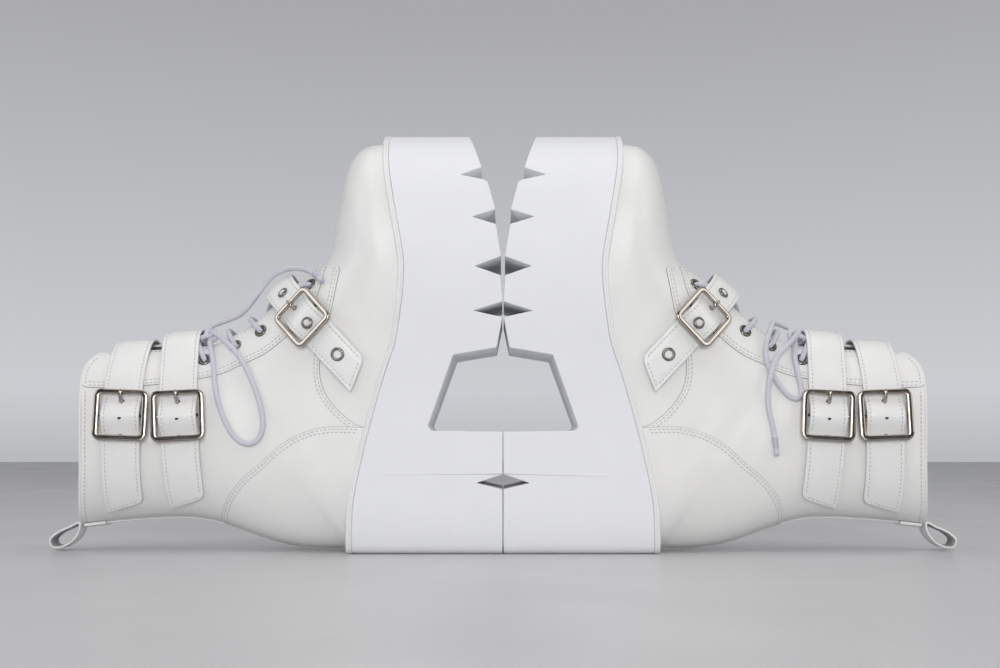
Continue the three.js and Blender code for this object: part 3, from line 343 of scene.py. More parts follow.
def sheet(us, vs, F, off_top, off_low, r=0.5, disp=None):
    """the part of the upper's surface (u, v) = (t, phi) where F(P) < 0, as a panel with a rounded edge"""
    nu, nv = len(us), len(vs)
    U, V = np.meshgrid(us, vs, indexing="ij")
    P = on_upper(U, V)
    f = F(P)
    hu = np.maximum(np.linalg.norm(np.gradient(P, axis=0), axis=-1), 1e-3)
    hv = np.maximum(np.linalg.norm(np.gradient(P, axis=1), axis=-1), 1e-3)
    cell = np.minimum(np.maximum(hu, 0.3), np.maximum(hv, 0.3))
    du, dv = np.gradient(us)[:, None], np.gradient(vs)[None, :]
    snapped = np.zeros(f.shape, bool)
    near = np.abs(f) < 0.75 * np.maximum(hu, hv)
    Un, Vn, fn = U.copy(), V.copy(), f.copy()
    su, sv = np.zeros_like(U), np.zeros_like(V)
    for _ in range(3):
        gu, gv = np.gradient(fn, axis=0), np.gradient(fn, axis=1)
        g2 = gu ** 2 / hu ** 2 + gv ** 2 / hv ** 2
        k = -fn / np.maximum(g2, 1e-6)
        mu, mv = k * gu / hu ** 2, k * gv / hv ** 2
        if _ == 0:
            cand = near & (np.abs(mu) < 0.42) & (np.abs(mv) < 0.42) & (g2 > 0.05)
            cand[[0, -1], :] &= np.abs(mu[[0, -1], :]) < 1e-3
            cand[:, [0, -1]] &= np.abs(mv[:, [0, -1]]) < 1e-3
            gu0, gv0 = gu, gv
        ii = np.where(cand)
        g2c = gu0[ii] ** 2 / hu[ii] ** 2 + gv0[ii] ** 2 / hv[ii] ** 2
        kk = -fn[ii] / g2c
        su[ii] = np.clip(su[ii] + kk * gu0[ii] / hu[ii] ** 2, -0.45, 0.45)
        sv[ii] = np.clip(sv[ii] + kk * gv0[ii] / hv[ii] ** 2, -0.45, 0.45)
        Un = U + su * du
        Vn = np.clip(V + sv * dv, vs[0], vs[-1])
        fn = f.copy()
        fn[ii] = F(on_upper(Un[ii], Vn[ii]))
    snapped = cand & (np.abs(fn) < 0.15 * cell)
    Un = np.where(snapped, Un, U)
    Vn = np.where(snapped, Vn, V)
    fn = np.where(snapped, 0.0, f)
    inside = (fn < 0) & ~snapped
    uu, vv = list(Un.ravel()), list(Vn.ravel())
    at = np.arange(nu * nv).reshape(nu, nv)
    faces = []
    st = np.where(snapped, 0, np.where(inside, -1, 1))
    c00, c10, c11, c01 = st[:-1, :-1], st[1:, :-1], st[1:, 1:], st[:-1, 1:]
    low = np.minimum(np.minimum(c00, c10), np.minimum(c11, c01))
    high = np.maximum(np.maximum(c00, c10), np.maximum(c11, c01))
    full = (low < 0) & (high <= 0)
    fi, fj = np.where(full)
    faces += list(map(tuple, np.stack([at[fi, fj], at[fi + 1, fj], at[fi + 1, fj + 1], at[fi, fj + 1]], 1).tolist()))
    cuts = {}

    def crossing(p, q):
        key = (min(p, q), max(p, q))
        if key not in cuts:
            a, b = key
            fa, fb = fn.flat[a], fn.flat[b]
            w = fa / (fa - fb)
            cuts[key] = len(uu)
            uu.append(uu[a] + (uu[b] - uu[a]) * w)
            vv.append(vv[a] + (vv[b] - vv[a]) * w)
        return cuts[key]

    stf = st.ravel()
    for i, j in zip(*np.where((low < 0) & (high > 0))):
        ring = [at[i, j], at[i + 1, j], at[i + 1, j + 1], at[i, j + 1]]
        poly = []
        for k in range(4):
            p, q = int(ring[k]), int(ring[(k + 1) % 4])
            if stf[p] <= 0:
                poly.append(p)
            if stf[p] * stf[q] < 0:
                poly.append(crossing(p, q))
        if len(poly) >= 3:
            faces.append(tuple(poly))
    uu, vv = np.array(uu), np.array(vv)
    used = np.unique(np.concatenate([np.array(f) for f in faces]))
    remap = -np.ones(len(uu), int)
    remap[used] = np.arange(len(used))
    faces = [tuple(remap[list(f)]) for f in faces]
    uu, vv = uu[used], vv[used]
    B = on_upper(uu, vv)
    N = normal_at(uu, vv)
    # weld where the surface closes on itself
    keys, group = {}, np.arange(len(uu))
    closing = np.where((np.abs(np.abs(vv) - np.pi) < 1e-6) | (uu < -0.999))[0]
    for i in closing:
        key = tuple(np.round(B[i], 3))
        group[i] = keys.setdefault(key, i)
    if len(closing):
        acc = np.zeros_like(N)
        np.add.at(acc, group, N)
        N = acc[group] / np.maximum(np.linalg.norm(acc[group], axis=1, keepdims=True), 1e-9)
        new = []
        for f in faces:
            g = [group[x] for x in f]
            h = [x for k, x in enumerate(g) if x != g[k - 1]]
            if len(set(h)) >= 3:
                new.append(tuple(h))
        faces = new
    edges = {}
    for f in faces:
        for k in range(len(f)):
            edges[(f[k], f[(k + 1) % len(f)])] = True
    rim = [(a, b) for a, b in edges if (b, a) not in edges]
    m = np.zeros_like(B)
    for a, b in rim:
        e = B[b] - B[a]
        ln = np.linalg.norm(e)
        if ln < 1e-9:
            continue
        for x in (a, b):
            m[x] += np.cross(e / ln, N[x]) * max(ln, 0.2)
    mn = np.linalg.norm(m, axis=1, keepdims=True)
    m = m / np.maximum(mn, 1e-9)
    on_rim = mn[:, 0] > 1e-9
    extra = disp(B) if disp is not None else 0.0
    top = B + N * (off_top + extra)[:, None] if disp is not None else B + N * off_top
    out = top.copy()
    out[on_rim] -= m[on_rim] * r
    pts = [out]
    rim_ids = np.where(on_rim)[0]
    slot = {int(x): k for k, x in enumerate(rim_ids)}
    base, levels = len(out), []
    for ang in (35, 65, 90):
        a = math.radians(ang)
        pts.append(top[rim_ids] - m[rim_ids] * r * (1 - math.sin(a)) - N[rim_ids] * r * (1 - math.cos(a)))
        levels.append(base)
        base += len(rim_ids)
    low_off = off_low + (extra[rim_ids] if disp is not None else 0.0)
    pts.append(B[rim_ids] + N[rim_ids] * (low_off[:, None] if disp is not None else low_off))
    levels.append(base)
    RIM_FROM[0] = len(faces)
    for a, b in rim:
        if a not in slot or b not in slot:
            continue
        la, lb = a, b
        for lv in levels:
            na, nb = lv + slot[a], lv + slot[b]
            faces.append((lb, la, na, nb))
            la, lb = na, nb
    return np.concatenate(pts), faces


def sweep(path, normals, section, closed=False, cap=True, scale=None):
    """section: (k, 2) points as (across, up), swept along path; up follows normals"""
    path = np.asarray(path, float)
    n = len(path)
    if closed:
        T = np.roll(path, -1, 0) - np.roll(path, 1, 0)
    else:
        T = np.gradient(path, axis=0)
    T /= np.linalg.norm(T, axis=1, keepdims=True)
    N = normals - (normals * T).sum(1, keepdims=True) * T
    N /= np.linalg.norm(N, axis=1, keepdims=True)
    B = np.cross(T, N)
    sec = np.asarray(section, float)
    k = len(sec)
    sc = np.ones((n, 1)) if scale is None else np.asarray(scale, float)[:, None]
    pts = path[:, None, :] + B[:, None, :] * (sec[None, :, 0:1] * sc[:, None]) + N[:, None, :] * (sec[None, :, 1:2] * sc[:, None])
    pts = pts.reshape(-1, 3)
    faces = []
    for i in range(n if closed else n - 1):
        j = (i + 1) % n
        for a in range(k):
            b = (a + 1) % k
            faces.append((i * k + a, i * k + b, j * k + b, j * k + a))
    if cap and not closed:
        faces.append(tuple(range(k))[::-1])
        faces.append(tuple((n - 1) * k + a for a in range(k)))
    v = 0.0
    arr = pts
    for f in faces[:min(len(faces), 4000)]:
        p = arr[list(f)]
        for q in range(1, len(p) - 1):
            v += float(np.dot(p[0], np.cross(p[q], p[q + 1])))
    if v < 0:
        faces = [f[::-1] for f in faces]
    return pts, faces


def parallel(path, start=None):
    """normals carried along a path without twist"""
    path = np.asarray(path, float)
    T = np.gradient(path, axis=0)
    T /= np.linalg.norm(T, axis=1, keepdims=True)
    ref = np.array([0, 0, 1.0]) if start is None else np.asarray(start, float)
    if abs(np.dot(ref, T[0])) > 0.95:
        ref = np.array([0, 1.0, 0])
    out = []
    for t in T:
        ref = ref - np.dot(ref, t) * t
        ref /= np.linalg.norm(ref)
        out.append(ref.copy())
    return np.array(out)


def rounded(a, b, power=3.0, n=16):
    w = np.linspace(0, 2 * np.pi, n, endpoint=False) + np.pi / n
    c, s = np.cos(w), np.sin(w)
    return np.stack([a * np.sign(c) * np.abs(c) ** (2 / power), b * np.sign(s) * np.abs(s) ** (2 / power)], 1)


def merge(parts):
    pts, faces, base = [], [], 0
    for P, F in parts:
        pts.append(P)
        faces += [tuple(x + base for x in f) for f in F]
        base += len(P)
    return np.concatenate(pts), faces


def stitches(P, N, pitch=3.0, dash=2.15, r=0.36, start=0.0):
    """thread dashes along a line on the surface"""
    P = np.asarray(P, float)
    d = np.concatenate([[0], np.cumsum(np.linalg.norm(np.diff(P, axis=0), axis=1))])
    if d[-1] < pitch * 1.5:
        return np.zeros((0, 3)), []
    x = np.arange(start + pitch / 2, d[-1] - pitch / 2, pitch)
    at = lambda A, y: np.stack([np.interp(y, d, A[:, k]) for k in range(3)], 1)
    C, n = at(P, x), at(N, x)
    T = at(P, x + dash / 2) - at(P, x - dash / 2)
    T /= np.linalg.norm(T, axis=1, keepdims=True)
    n -= (n * T).sum(1, keepdims=True) * T
    n /= np.linalg.norm(n, axis=1, keepdims=True)
    B = np.cross(T, n)
    rings = [(-0.5, 0.25, -0.75), (-0.4, 0.8, -0.2), (-0.12, 1, 0.12), (0.12, 1, 0.12), (0.4, 0.8, -0.2), (0.5, 0.25, -0.75)]
    k = 6
    tmpl = np.array([[a * dash, r * q * math.cos(2 * math.pi * j / k), r * q * math.sin(2 * math.pi * j / k) + r * z] for a, q, z in rings for j in range(k)])
    F = [(i * k + j, i * k + (j + 1) % k, (i + 1) * k + (j + 1) % k, (i + 1) * k + j) for i in range(len(rings) - 1) for j in range(k)]
    F += [tuple(range(k))[::-1], tuple((len(rings) - 1) * k + j for j in range(k))]
    pts = C[:, None] + T[:, None] * tmpl[None, :, 0:1] + B[:, None] * tmpl[None, :, 1:2] + n[:, None] * tmpl[None, :, 2:3]
    m = len(tmpl)
    faces = [tuple(c * m + q for q in f) for c in range(len(C)) for f in F]
    pts = pts.reshape(-1, 3)
    p = pts[list(F[0])]
    if np.dot(np.cross(p[1] - p[0], p[2] - p[1]), p.mean(0) - C[0]) < 0:
        faces = [f[::-1] for f in faces]
    return pts, faces


def lathe(o, n, u, profile, steps=28):
    """profile (radius, height) turned about n at o"""
    n = n / np.linalg.norm(n)
    u = u - np.dot(u, n) * n
    u /= np.linalg.norm(u)
    v = np.cross(n, u)
    k = len(profile)
    pts = []
    for i in range(steps):
        a = 2 * math.pi * i / steps
        d = u * math.cos(a) + v * math.sin(a)
        for rr, h in profile:
            pts.append(o + d * rr + n * h)
    faces = []
    for i in range(steps):
        j = (i + 1) % steps
        for a in range(k - 1):
            faces.append((i * k + a, j * k + a, j * k + a + 1, i * k + a + 1))
    return np.array(pts), faces


RING = [(2.75, -0.3), (2.7, 0.35), (2.95, 0.75), (3.4, 0.95), (3.9, 0.92), (4.4, 0.62), (4.75, 0.22), (4.85, -0.25)]
HOLE = [(0.0, 0.05), (1.5, 0.05), (2.8, 0.05)]


# ------------------------------------------------------------------ materials
def node_mat(name, base, rough, metallic=0.0, vary=0.03, vary_scale=60.0, rough_vary=0.06, grain=None, coat=0.0, coat_rough=0.3, sheen=0.0, tint=None):
    m = bpy.data.materials.new(name)
    m.use_nodes = True
    nt = m.node_tree
    bsdf = nt.nodes["Principled BSDF"]
    out = nt.nodes["Material Output"]
    L = nt.links.new
    coord = nt.nodes.new("ShaderNodeTexCoord")
    src = coord.outputs["Object"]
    noise = nt.nodes.new("ShaderNodeTexNoise")
    noise.inputs["Scale"].default_value = vary_scale
    noise.inputs["Detail"].default_value = 5
    L(src, noise.inputs["Vector"])
    ramp = nt.nodes.new("ShaderNodeValToRGB")
    lo = [max(c - vary, 0) for c in base]
    hi = [min(c + vary * 0.4, 1) for c in (tint or base)]
    ramp.color_ramp.elements[0].position = 0.3
    ramp.color_ramp.elements[1].position = 0.7
    ramp.color_ramp.elements[0].color = (*lo, 1)
    ramp.color_ramp.elements[1].color = (*hi, 1)
    L(noise.outputs["Fac"], ramp.inputs["Fac"])
    L(ramp.outputs["Color"], bsdf.inputs["Base Color"])
    n2 = nt.nodes.new("ShaderNodeTexNoise")
    n2.inputs["Scale"].default_value = vary_scale * 2.7
    n2.inputs["Detail"].default_value = 6
    L(src, n2.inputs["Vector"])
    mr = nt.nodes.new("ShaderNodeMapRange")
    mr.inputs["From Min"].default_value = 0.3
    mr.inputs["From Max"].default_value = 0.7
    mr.inputs["To Min"].default_value = rough - rough_vary
    mr.inputs["To Max"].default_value = rough + rough_vary
    L(n2.outputs["Fac"], mr.inputs["Value"])
    L(mr.outputs["Result"], bsdf.inputs["Roughness"])
    bsdf.inputs["Metallic"].default_value = metallic
    bsdf.inputs["Coat Weight"].default_value = coat
    bsdf.inputs["Coat Roughness"].default_value = coat_rough
    bsdf.inputs["Sheen Weight"].default_value = sheen
    if grain:
        kind, scale, strength, dist = grain
        bump = nt.nodes.new("ShaderNodeBump")
        bump.inputs["Strength"].default_value = strength
        bump.inputs["Distance"].default_value = dist
        if kind == "leather":
            warp = nt.nodes.new("ShaderNodeTexNoise")
            warp.inputs["Scale"].default_value = scale * 0.35
            warp.inputs["Detail"].default_value = 3
            L(src, warp.inputs["Vector"])
            mixv = nt.nodes.new("ShaderNodeMixRGB")
            mixv.blend_type = "ADD"
            mixv.inputs["Fac"].default_value = 0.0012
            L(src, mixv.inputs["Color1"])
            L(warp.outputs["Color"], mixv.inputs["Color2"])
            vor = nt.nodes.new("ShaderNodeTexVoronoi")
            vor.feature = "DISTANCE_TO_EDGE"
            vor.inputs["Scale"].default_value = scale
            L(mixv.outputs["Color"], vor.inputs["Vector"])
            fine = nt.nodes.new("ShaderNodeTexNoise")
            fine.inputs["Scale"].default_value = scale * 1.8
            fine.inputs["Detail"].default_value = 4
            L(src, fine.inputs["Vector"])
            clampn = nt.nodes.new("ShaderNodeMapRange")
            clampn.inputs["From Max"].default_value = 0.22
            L(vor.outputs["Distance"], clampn.inputs["Value"])
            add = nt.nodes.new("ShaderNodeMath")
            add.operation = "MULTIPLY_ADD"
            add.inputs[1].default_value = 0.6
            L(clampn.outputs["Result"], add.inputs[0])
            L(fine.outputs["Fac"], add.inputs[2])
            L(add.outputs[0], bump.inputs["Height"])
        elif kind == "weave":
            w1 = nt.nodes.new("ShaderNodeTexWave")
            w1.bands_direction = "X"
            w1.inputs["Scale"].default_value = scale
            w1.inputs["Distortion"].default_value = 1.2
            w1.inputs["Detail Scale"].default_value = 2
            L(src, w1.inputs["Vector"])
            w2 = nt.nodes.new("ShaderNodeTexWave")
            w2.bands_direction = "Z"
            w2.inputs["Scale"].default_value = scale
            w2.inputs["Distortion"].default_value = 1.2
            L(src, w2.inputs["Vector"])
            mx = nt.nodes.new("ShaderNodeMath")
            mx.operation = "MAXIMUM"
            L(w1.outputs["Fac"], mx.inputs[0])
            L(w2.outputs["Fac"], mx.inputs[1])
            L(mx.outputs[0], bump.inputs["Height"])
        elif kind == "braid":
            uvn = coord.outputs["UV"]
            sep = nt.nodes.new("ShaderNodeSeparateXYZ")
            L(uvn, sep.inputs[0])
            waves = []
            for sgn in (1.0, -1.0):
                a = nt.nodes.new("ShaderNodeMath")
                a.operation = "MULTIPLY"
                a.inputs[1].default_value = scale
                L(sep.outputs[0], a.inputs[0])
                b = nt.nodes.new("ShaderNodeMath")
                b.operation = "MULTIPLY_ADD"
                b.inputs[1].default_value = sgn * 2 * math.pi * 6
                L(sep.outputs[1], b.inputs[0])
                L(a.outputs[0], b.inputs[2])
                c = nt.nodes.new("ShaderNodeMath")
                c.operation = "SINE"
                L(b.outputs[0], c.inputs[0])
                waves.append(c)
            mx = nt.nodes.new("ShaderNodeMath")
            mx.operation = "MAXIMUM"
            L(waves[0].outputs[0], mx.inputs[0])
            L(waves[1].outputs[0], mx.inputs[1])
            L(mx.outputs[0], bump.inputs["Height"])
            # the lace's base colour is darkened in the braid's grooves: painted shade
            dark = nt.nodes.new("ShaderNodeMapRange")
            dark.inputs["From Min"].default_value = -0.6
            dark.inputs["From Max"].default_value = 0.9
            dark.inputs["To Min"].default_value = 0.72
            dark.inputs["To Max"].default_value = 1.0
            L(mx.outputs[0], dark.inputs["Value"])
            mul = nt.nodes.new("ShaderNodeMixRGB")
            mul.blend_type = "MULTIPLY"
            mul.inputs["Fac"].default_value = 1.0
            L(ramp.outputs["Color"], mul.inputs["Color1"])
            L(dark.outputs["Result"], mul.inputs["Color2"])
            L(mul.outputs["Color"], bsdf.inputs["Base Color"])
        else:
            g = nt.nodes.new("ShaderNodeTexNoise")
            g.inputs["Scale"].default_value = scale
            g.inputs["Detail"].default_value = 6
            g.inputs["Roughness"].default_value = 0.65
            L(src, g.inputs["Vector"])
            L(g.outputs["Fac"], bump.inputs["Height"])
        L(bump.outputs["Normal"], bsdf.inputs["Normal"])
    MATS[name] = m
    return m


node_mat("upper_leather", (0.84, 0.838, 0.828), 0.36, vary=0.02, vary_scale=34, grain=("leather", 1150, 0.14, 0.0004), coat=0.12, coat_rough=0.28)
node_mat("strap_leather", (0.85, 0.85, 0.845), 0.34, vary=0.018, vary_scale=48, grain=("leather", 1350, 0.12, 0.0004), coat=0.15, coat_rough=0.26)
# grey strap edge: real edge paint, made darker to paint the shade under the strap's edge
node_mat("strap_edge_paint_and_shade", (0.42, 0.41, 0.40), 0.6, vary=0.06, vary_scale=300, grain=("fine", 2200, 0.3, 0.0003))
node_mat("platform_foam", (0.83, 0.84, 0.87), 0.52, vary=0.014, vary_scale=26, rough_vary=0.05, grain=("fine", 1700, 0.16, 0.0003))
node_mat("rand_rubber", (0.835, 0.838, 0.85), 0.42, vary=0.02, vary_scale=80, grain=("fine", 1500, 0.15, 0.0003))
node_mat("lining_cloth", (0.40, 0.40, 0.41), 0.85, vary=0.06, vary_scale=120, grain=("weave", 420, 0.5, 0.0003), sheen=0.25)
node_mat("footbed_foam", (0.55, 0.55, 0.56), 0.8, vary=0.05, vary_scale=90, grain=("weave", 300, 0.4, 0.0003))
node_mat("board", (0.50, 0.47, 0.42), 0.8, vary=0.07, vary_scale=180, grain=("fine", 700, 0.4, 0.0004))
node_mat("lace_cotton", (0.74, 0.74, 0.83), 0.82, vary=0.03, vary_scale=200, grain=("braid", 3000.0, 0.5, 0.0004), sheen=0.2)
node_mat("aglet_plastic", (0.52, 0.52, 0.62), 0.28, vary=0.03, vary_scale=160, grain=("fine", 900, 0.08, 0.0002), coat=0.3, coat_rough=0.15)
node_mat("buckle_metal", (0.42, 0.385, 0.35), 0.15, metallic=1.0, vary=0.05, vary_scale=70, rough_vary=0.05, grain=("fine", 260, 0.03, 0.0004))
node_mat("eyelet_metal", (0.25, 0.24, 0.23), 0.28, metallic=1.0, vary=0.06, vary_scale=120, rough_vary=0.06, grain=("fine", 500, 0.05, 0.0003))
# grey raw cut edge of the panels, made darker to paint the thin shade line along panel edges
node_mat("cut_edge_and_shade_line", (0.40, 0.40, 0.40), 0.7, vary=0.05, vary_scale=300, grain=("fine", 2200, 0.3, 0.0003))
# thread: greyer than the white thread itself, to paint the shade in the needle holes along each row
node_mat("thread", (0.58, 0.58, 0.59), 0.7, vary=0.05, vary_scale=700, grain=("fine", 3200, 0.5, 0.0002))
# near-black discs laid over holes: painted shade inside the holes
node_mat("hole_dark", (0.035, 0.033, 0.032), 0.8, vary=0.012, vary_scale=500, grain=("fine", 1800, 0.2, 0.0002))

# ------------------------------------------------------------------ camera and light
cam_data = bpy.data.cameras.new("camera")
cam_data.lens = 45.2
cam_data.sensor_width = 36.0
cam_data.shift_y = 0.106
cam_data.shift_x = -0.003
cam_data.clip_start = 0.01
cam = bpy.data.objects.new("camera", cam_data)
bpy.context.scene.collection.objects.link(cam)
cam.location = (0.0, -0.9012, 0.079)
cam.rotation_euler = (math.radians(90), 0, 0)
bpy.context.scene.camera = cam
bpy.context.scene.view_settings.view_transform = "Standard"
bpy.context.scene.view_settings.look = "None"


def area(name, loc, target, size, energy, color=(1, 1, 1), size_y=None):
    d = bpy.data.lights.new(name, "AREA")
    d.energy = energy
    d.color = color
    d.size = size
    if size_y:
        d.shape = "RECTANGLE"
        d.size_y = size_y
    o = bpy.data.objects.new(name, d)
    bpy.context.scene.collection.objects.link(o)
    o.location = loc
    o.rotation_euler = (Vector(target) - Vector(loc)).to_track_quat("-Z", "Y").to_euler()
    return o


area("key_top", (0.0, -0.35, 1.7), (0, 0, 0.1), 1.5, 9.5, (1.0, 0.99, 0.975))
area("left_soft", (-1.5, -0.9, 0.75), (0, 0, 0.12), 0.9, 5.5, (0.97, 0.98, 1.0))
area("right_soft", (1.5, -0.9, 0.75), (0, 0, 0.12), 0.9, 5.5, (1.0, 0.99, 0.97))
area("front_fill", (0.0, -2.2, 0.6), (0, 0, 0.12), 0.9, 20, (1.0, 0.99, 0.975))

world = bpy.data.worlds.new("studio")
bpy.context.scene.world = world
world.use_nodes = True
wn = world.node_tree
bg = wn.nodes["Background"]
tc = wn.nodes.new("ShaderNodeTexCoord")
sep = wn.nodes.new("ShaderNodeSeparateXYZ")
wr = wn.nodes.new("ShaderNodeValToRGB")
wr.color_ramp.elements[0].position = 0.44
wr.color_ramp.elements[0].color = (0.30, 0.305, 0.32, 1)
wr.color_ramp.elements[1].position = 0.52
wr.color_ramp.elements[1].color = (0.70, 0.715, 0.75, 1)
e = wr.color_ramp.elements.new(0.66)
e.color = (0.47, 0.472, 0.485, 1)
mapz = wn.nodes.new("ShaderNodeMapRange")
mapz.inputs["From Min"].default_value = -1
mapz.inputs["From Max"].default_value = 1
wn.links.new(tc.outputs["Generated"], sep.inputs[0])
wn.links.new(sep.outputs["Z"], mapz.inputs["Value"])
wn.links.new(mapz.outputs["Result"], wr.inputs["Fac"])
# the room behind the lights, on the viewer's side, is darker
dim = wn.nodes.new("ShaderNodeMapRange")
dim.inputs["From Min"].default_value = -0.55
dim.inputs["From Max"].default_value = 0.15
dim.inputs["To Min"].default_value = 0.16
dim.inputs["To Max"].default_value = 1.0
wn.links.new(sep.outputs["Y"], dim.inputs["Value"])
dimmul = wn.nodes.new("ShaderNodeMixRGB")
dimmul.blend_type = "MULTIPLY"
dimmul.inputs["Fac"].default_value = 1.0
wn.links.new(wr.outputs["Color"], dimmul.inputs["Color1"])
wn.links.new(dim.outputs["Result"], dimmul.inputs["Color2"])
wn.links.new(dimmul.outputs["Color"], bg.inputs["Color"])
bg.inputs["Strength"].default_value = 0.85

node_mat("floor_paint", (0.60, 0.60, 0.615), 0.34, vary=0.02, vary_scale=3.0, rough_vary=0.06, grain=("fine", 30, 0.05, 0.002))
fm = bpy.data.meshes.new("floor")
fm.from_pydata([(-6, -4, 0), (6, -4, 0), (6, 3.6, 0), (-6, 3.6, 0)], [], [(0, 1, 2, 3)])
fm.materials.append(MATS["floor_paint"])
floor = bpy.data.objects.new("floor", fm)
bpy.context.scene.collection.objects.link(floor)


# ------------------------------------------------------------------ laces: the free cords first
def tube_mesh(path, r, k=14, cap=2.0):
    path = np.asarray(path, float)
    N = parallel(path)
    w = np.linspace(0, 2 * np.pi, k, endpoint=False)
    sec = np.stack([r * np.cos(w), r * np.sin(w)], 1)
    P, F = sweep(path, N, sec)
    d = np.concatenate([[0], np.cumsum(np.linalg.norm(np.diff(path, axis=0), axis=1))])
    uv = np.stack([np.repeat(d / 1000.0, k), np.tile(w / (2 * np.pi), len(path))], 1)
    return P, F, uv


def free_lace(points, n):
    pts = []
    for p in points:
        if len(p) > 3:
            pts.append([p[0], p[1], p[3]])
        else:
            P, N, s, ok = side_point([p[0]], [p[1]], 1)
            pts.append(P[0] + N[0] * p[2])
    line = catmull(pts, n)
    for _ in range(26):
        line[1:-1] += (line[:-2] + line[2:] - 2 * line[1:-1]) * 0.35
    return line


def eyelet_at(i, side):
    t, s, ok = locate([EYELETS[i][0]], [EYELETS[i][1]])
    phi = side * math.acos(1 - 2 * float(s[0]))
    return float(t[0]), phi


LIFT = 3.1


def off_upper(t, phi, off):
    return on_upper(t, phi) + normal_at(t, phi) * off


def lace_run(a, b):
    """one run over the opening: out of one eyelet, over the ridge, down into the other; a and b are (t, phi)"""
    pts = []
    for f, off in ((0, -1.2), (0, 0.9), (0.055, 2.7), (0.14, LIFT), (0.26, LIFT), (0.38, LIFT), (0.5, LIFT), (0.62, LIFT), (0.74, LIFT), (0.86, LIFT), (0.945, 2.7), (1, 0.9), (1, -1.2)):
        pts.append(off_upper(a[0] + (b[0] - a[0]) * f, a[1] + (b[1] - a[1]) * f, off))
    return catmull(pts, 90)


def lacing_runs():
    runs = [lace_run(eyelet_at(0, 1), eyelet_at(2, -1))]
    for k in (2, 3, 4):
        runs.append(lace_run(eyelet_at(k, 1), eyelet_at(k, -1)))
    return runs


LACING = lacing_runs()
for side in ("left", "right"):
    boot = side + "_boot"
    tubes = [tube_mesh(run, LACE_D / 2) for run in LACING]
    P, F = merge([(a, b) for a, b, _ in tubes])
    uv = np.concatenate([c_ for _, _, c_ in tubes])
    make("lacing_cord", side, P, F, "lace_cotton", boot, ("lacing",), "lace", smooth=None, uv=uv)
    for kind, n in (("loop", 150), ("tail", 120)):
        path = free_lace(BOW[side][kind], n)
        P, F, uv = tube_mesh(path, LACE_D / 2)
        piece = make("lace_" + kind + "_cord", side, P, F, "lace_cotton", boot, ("lace_" + kind,), "lace", smooth=None, uv=uv)
        row_path = to_row(path, side)
        if kind == "tail":
            # the aglet is a crimped sleeve on the last 13 mm, a little tapered
            end = respace(path, int(length_of(path)))[-13:]
            k = len(end)
            T = end[-1] - end[-2]
            end = np.concatenate([end, [end[-1] + T / np.linalg.norm(T) * 0.9]])
            w = np.linspace(0, 2 * np.pi, 16, endpoint=False)
            prof = np.concatenate([[2.02, 2.12, 2.12], np.linspace(2.08, 1.72, k - 3), [1.1]])
            A, AF = sweep(end, parallel(end), np.stack([np.cos(w), np.sin(w)], 1), scale=prof)
            ag = make("lace_aglet", side, A, AF, "aglet_plastic", boot, (), "lace", smooth=50)
    # the bow's knot
    o = np.array([150.5, 205.3, 3.0]) if side == "left" else np.array([150.5, 206.0, 3.2])
    Pk, Nk, _, _ = side_point([147.5], [206.5], 1)
    a = np.linspace(0, 2 * np.pi, 121)
    up = Nk[0]
    e1 = np.array([0.0, 1.0, 0.0]) - up * up[1]
    e1 /= np.linalg.norm(e1)
    e2 = np.cross(up, e1)
    centre = Pk[0] + up * 5.6
    kn = np.stack([(np.sin(a) + 1.7 * np.sin(2 * a)), (np.cos(a) - 1.7 * np.cos(2 * a)), -np.sin(3 * a)], 1)
    path = centre + (e1 * kn[:, :1] * 2.3 + e2 * kn[:, 1:2] * 2.0 + up * kn[:, 2:3] * 1.9)
    P, F, uv = tube_mesh(path, LACE_D / 2 * 0.94)
    make("lace_knot", side, P, F, "lace_cotton", boot, (), "lace", smooth=None, uv=uv)


# ------------------------------------------------------------------ straps and buckles
def strap_curve(start, dirv, q, want_l, want_m):
    d = np.array(dirv, float)
    d /= np.linalg.norm(d)
    e = np.array([-d[1], d[0]])
    o = np.array(start, float) + e * q

    def inside(l):
        l = np.atleast_1d(l)
        t, s, ok = locate(o[0] + d[0] * l, o[1] + d[1] * l)
        return ok & (s >= 0) & (s <= 1)
    grid = np.arange(0, 80, 1.0)
    b = grid[inside(grid).argmax()]
    a = b - 1
    for _ in range(24):
        m = (a + b) / 2
        if inside(m)[0]:
            b = m
        else:
            a = m
    lam, step, lams = b + 1e-4, 0.02, []
    for _ in range(420):
        lams.append(lam)
        step = min(step * 1.25, 0.8)
        lam += step
    lams = np.array(lams)
    out = []
    for side, want in ((1, want_l), (-1, want_m)):
        P, N, s, ok = side_point(o[0] + d[0] * lams, o[1] + d[1] * lams, side)
        good = ok & (s >= 0) & (s <= 1)
        n = len(good) if good.all() else int(np.argmin(good))
        P, N = P[:n], N[:n]
        ln = np.concatenate([[0], np.cumsum(np.linalg.norm(np.diff(P, axis=0), axis=1))])
        out.append((ln, P, N))

    def at(x):
        x = np.atleast_1d(np.asarray(x, float))
        R = np.empty((len(x), 6))
        for sel, (ln, P, N), y in ((x >= 0, out[0], x), (x < 0, out[1], -x)):
            for k in range(3):
                R[sel, k] = np.interp(y[sel], ln, P[:, k])
                R[sel, 3 + k] = np.interp(y[sel], ln, N[:, k])
        N = R[:, 3:]
        return R[:, :3], N / np.linalg.norm(N, axis=1, keepdims=True)
    return at


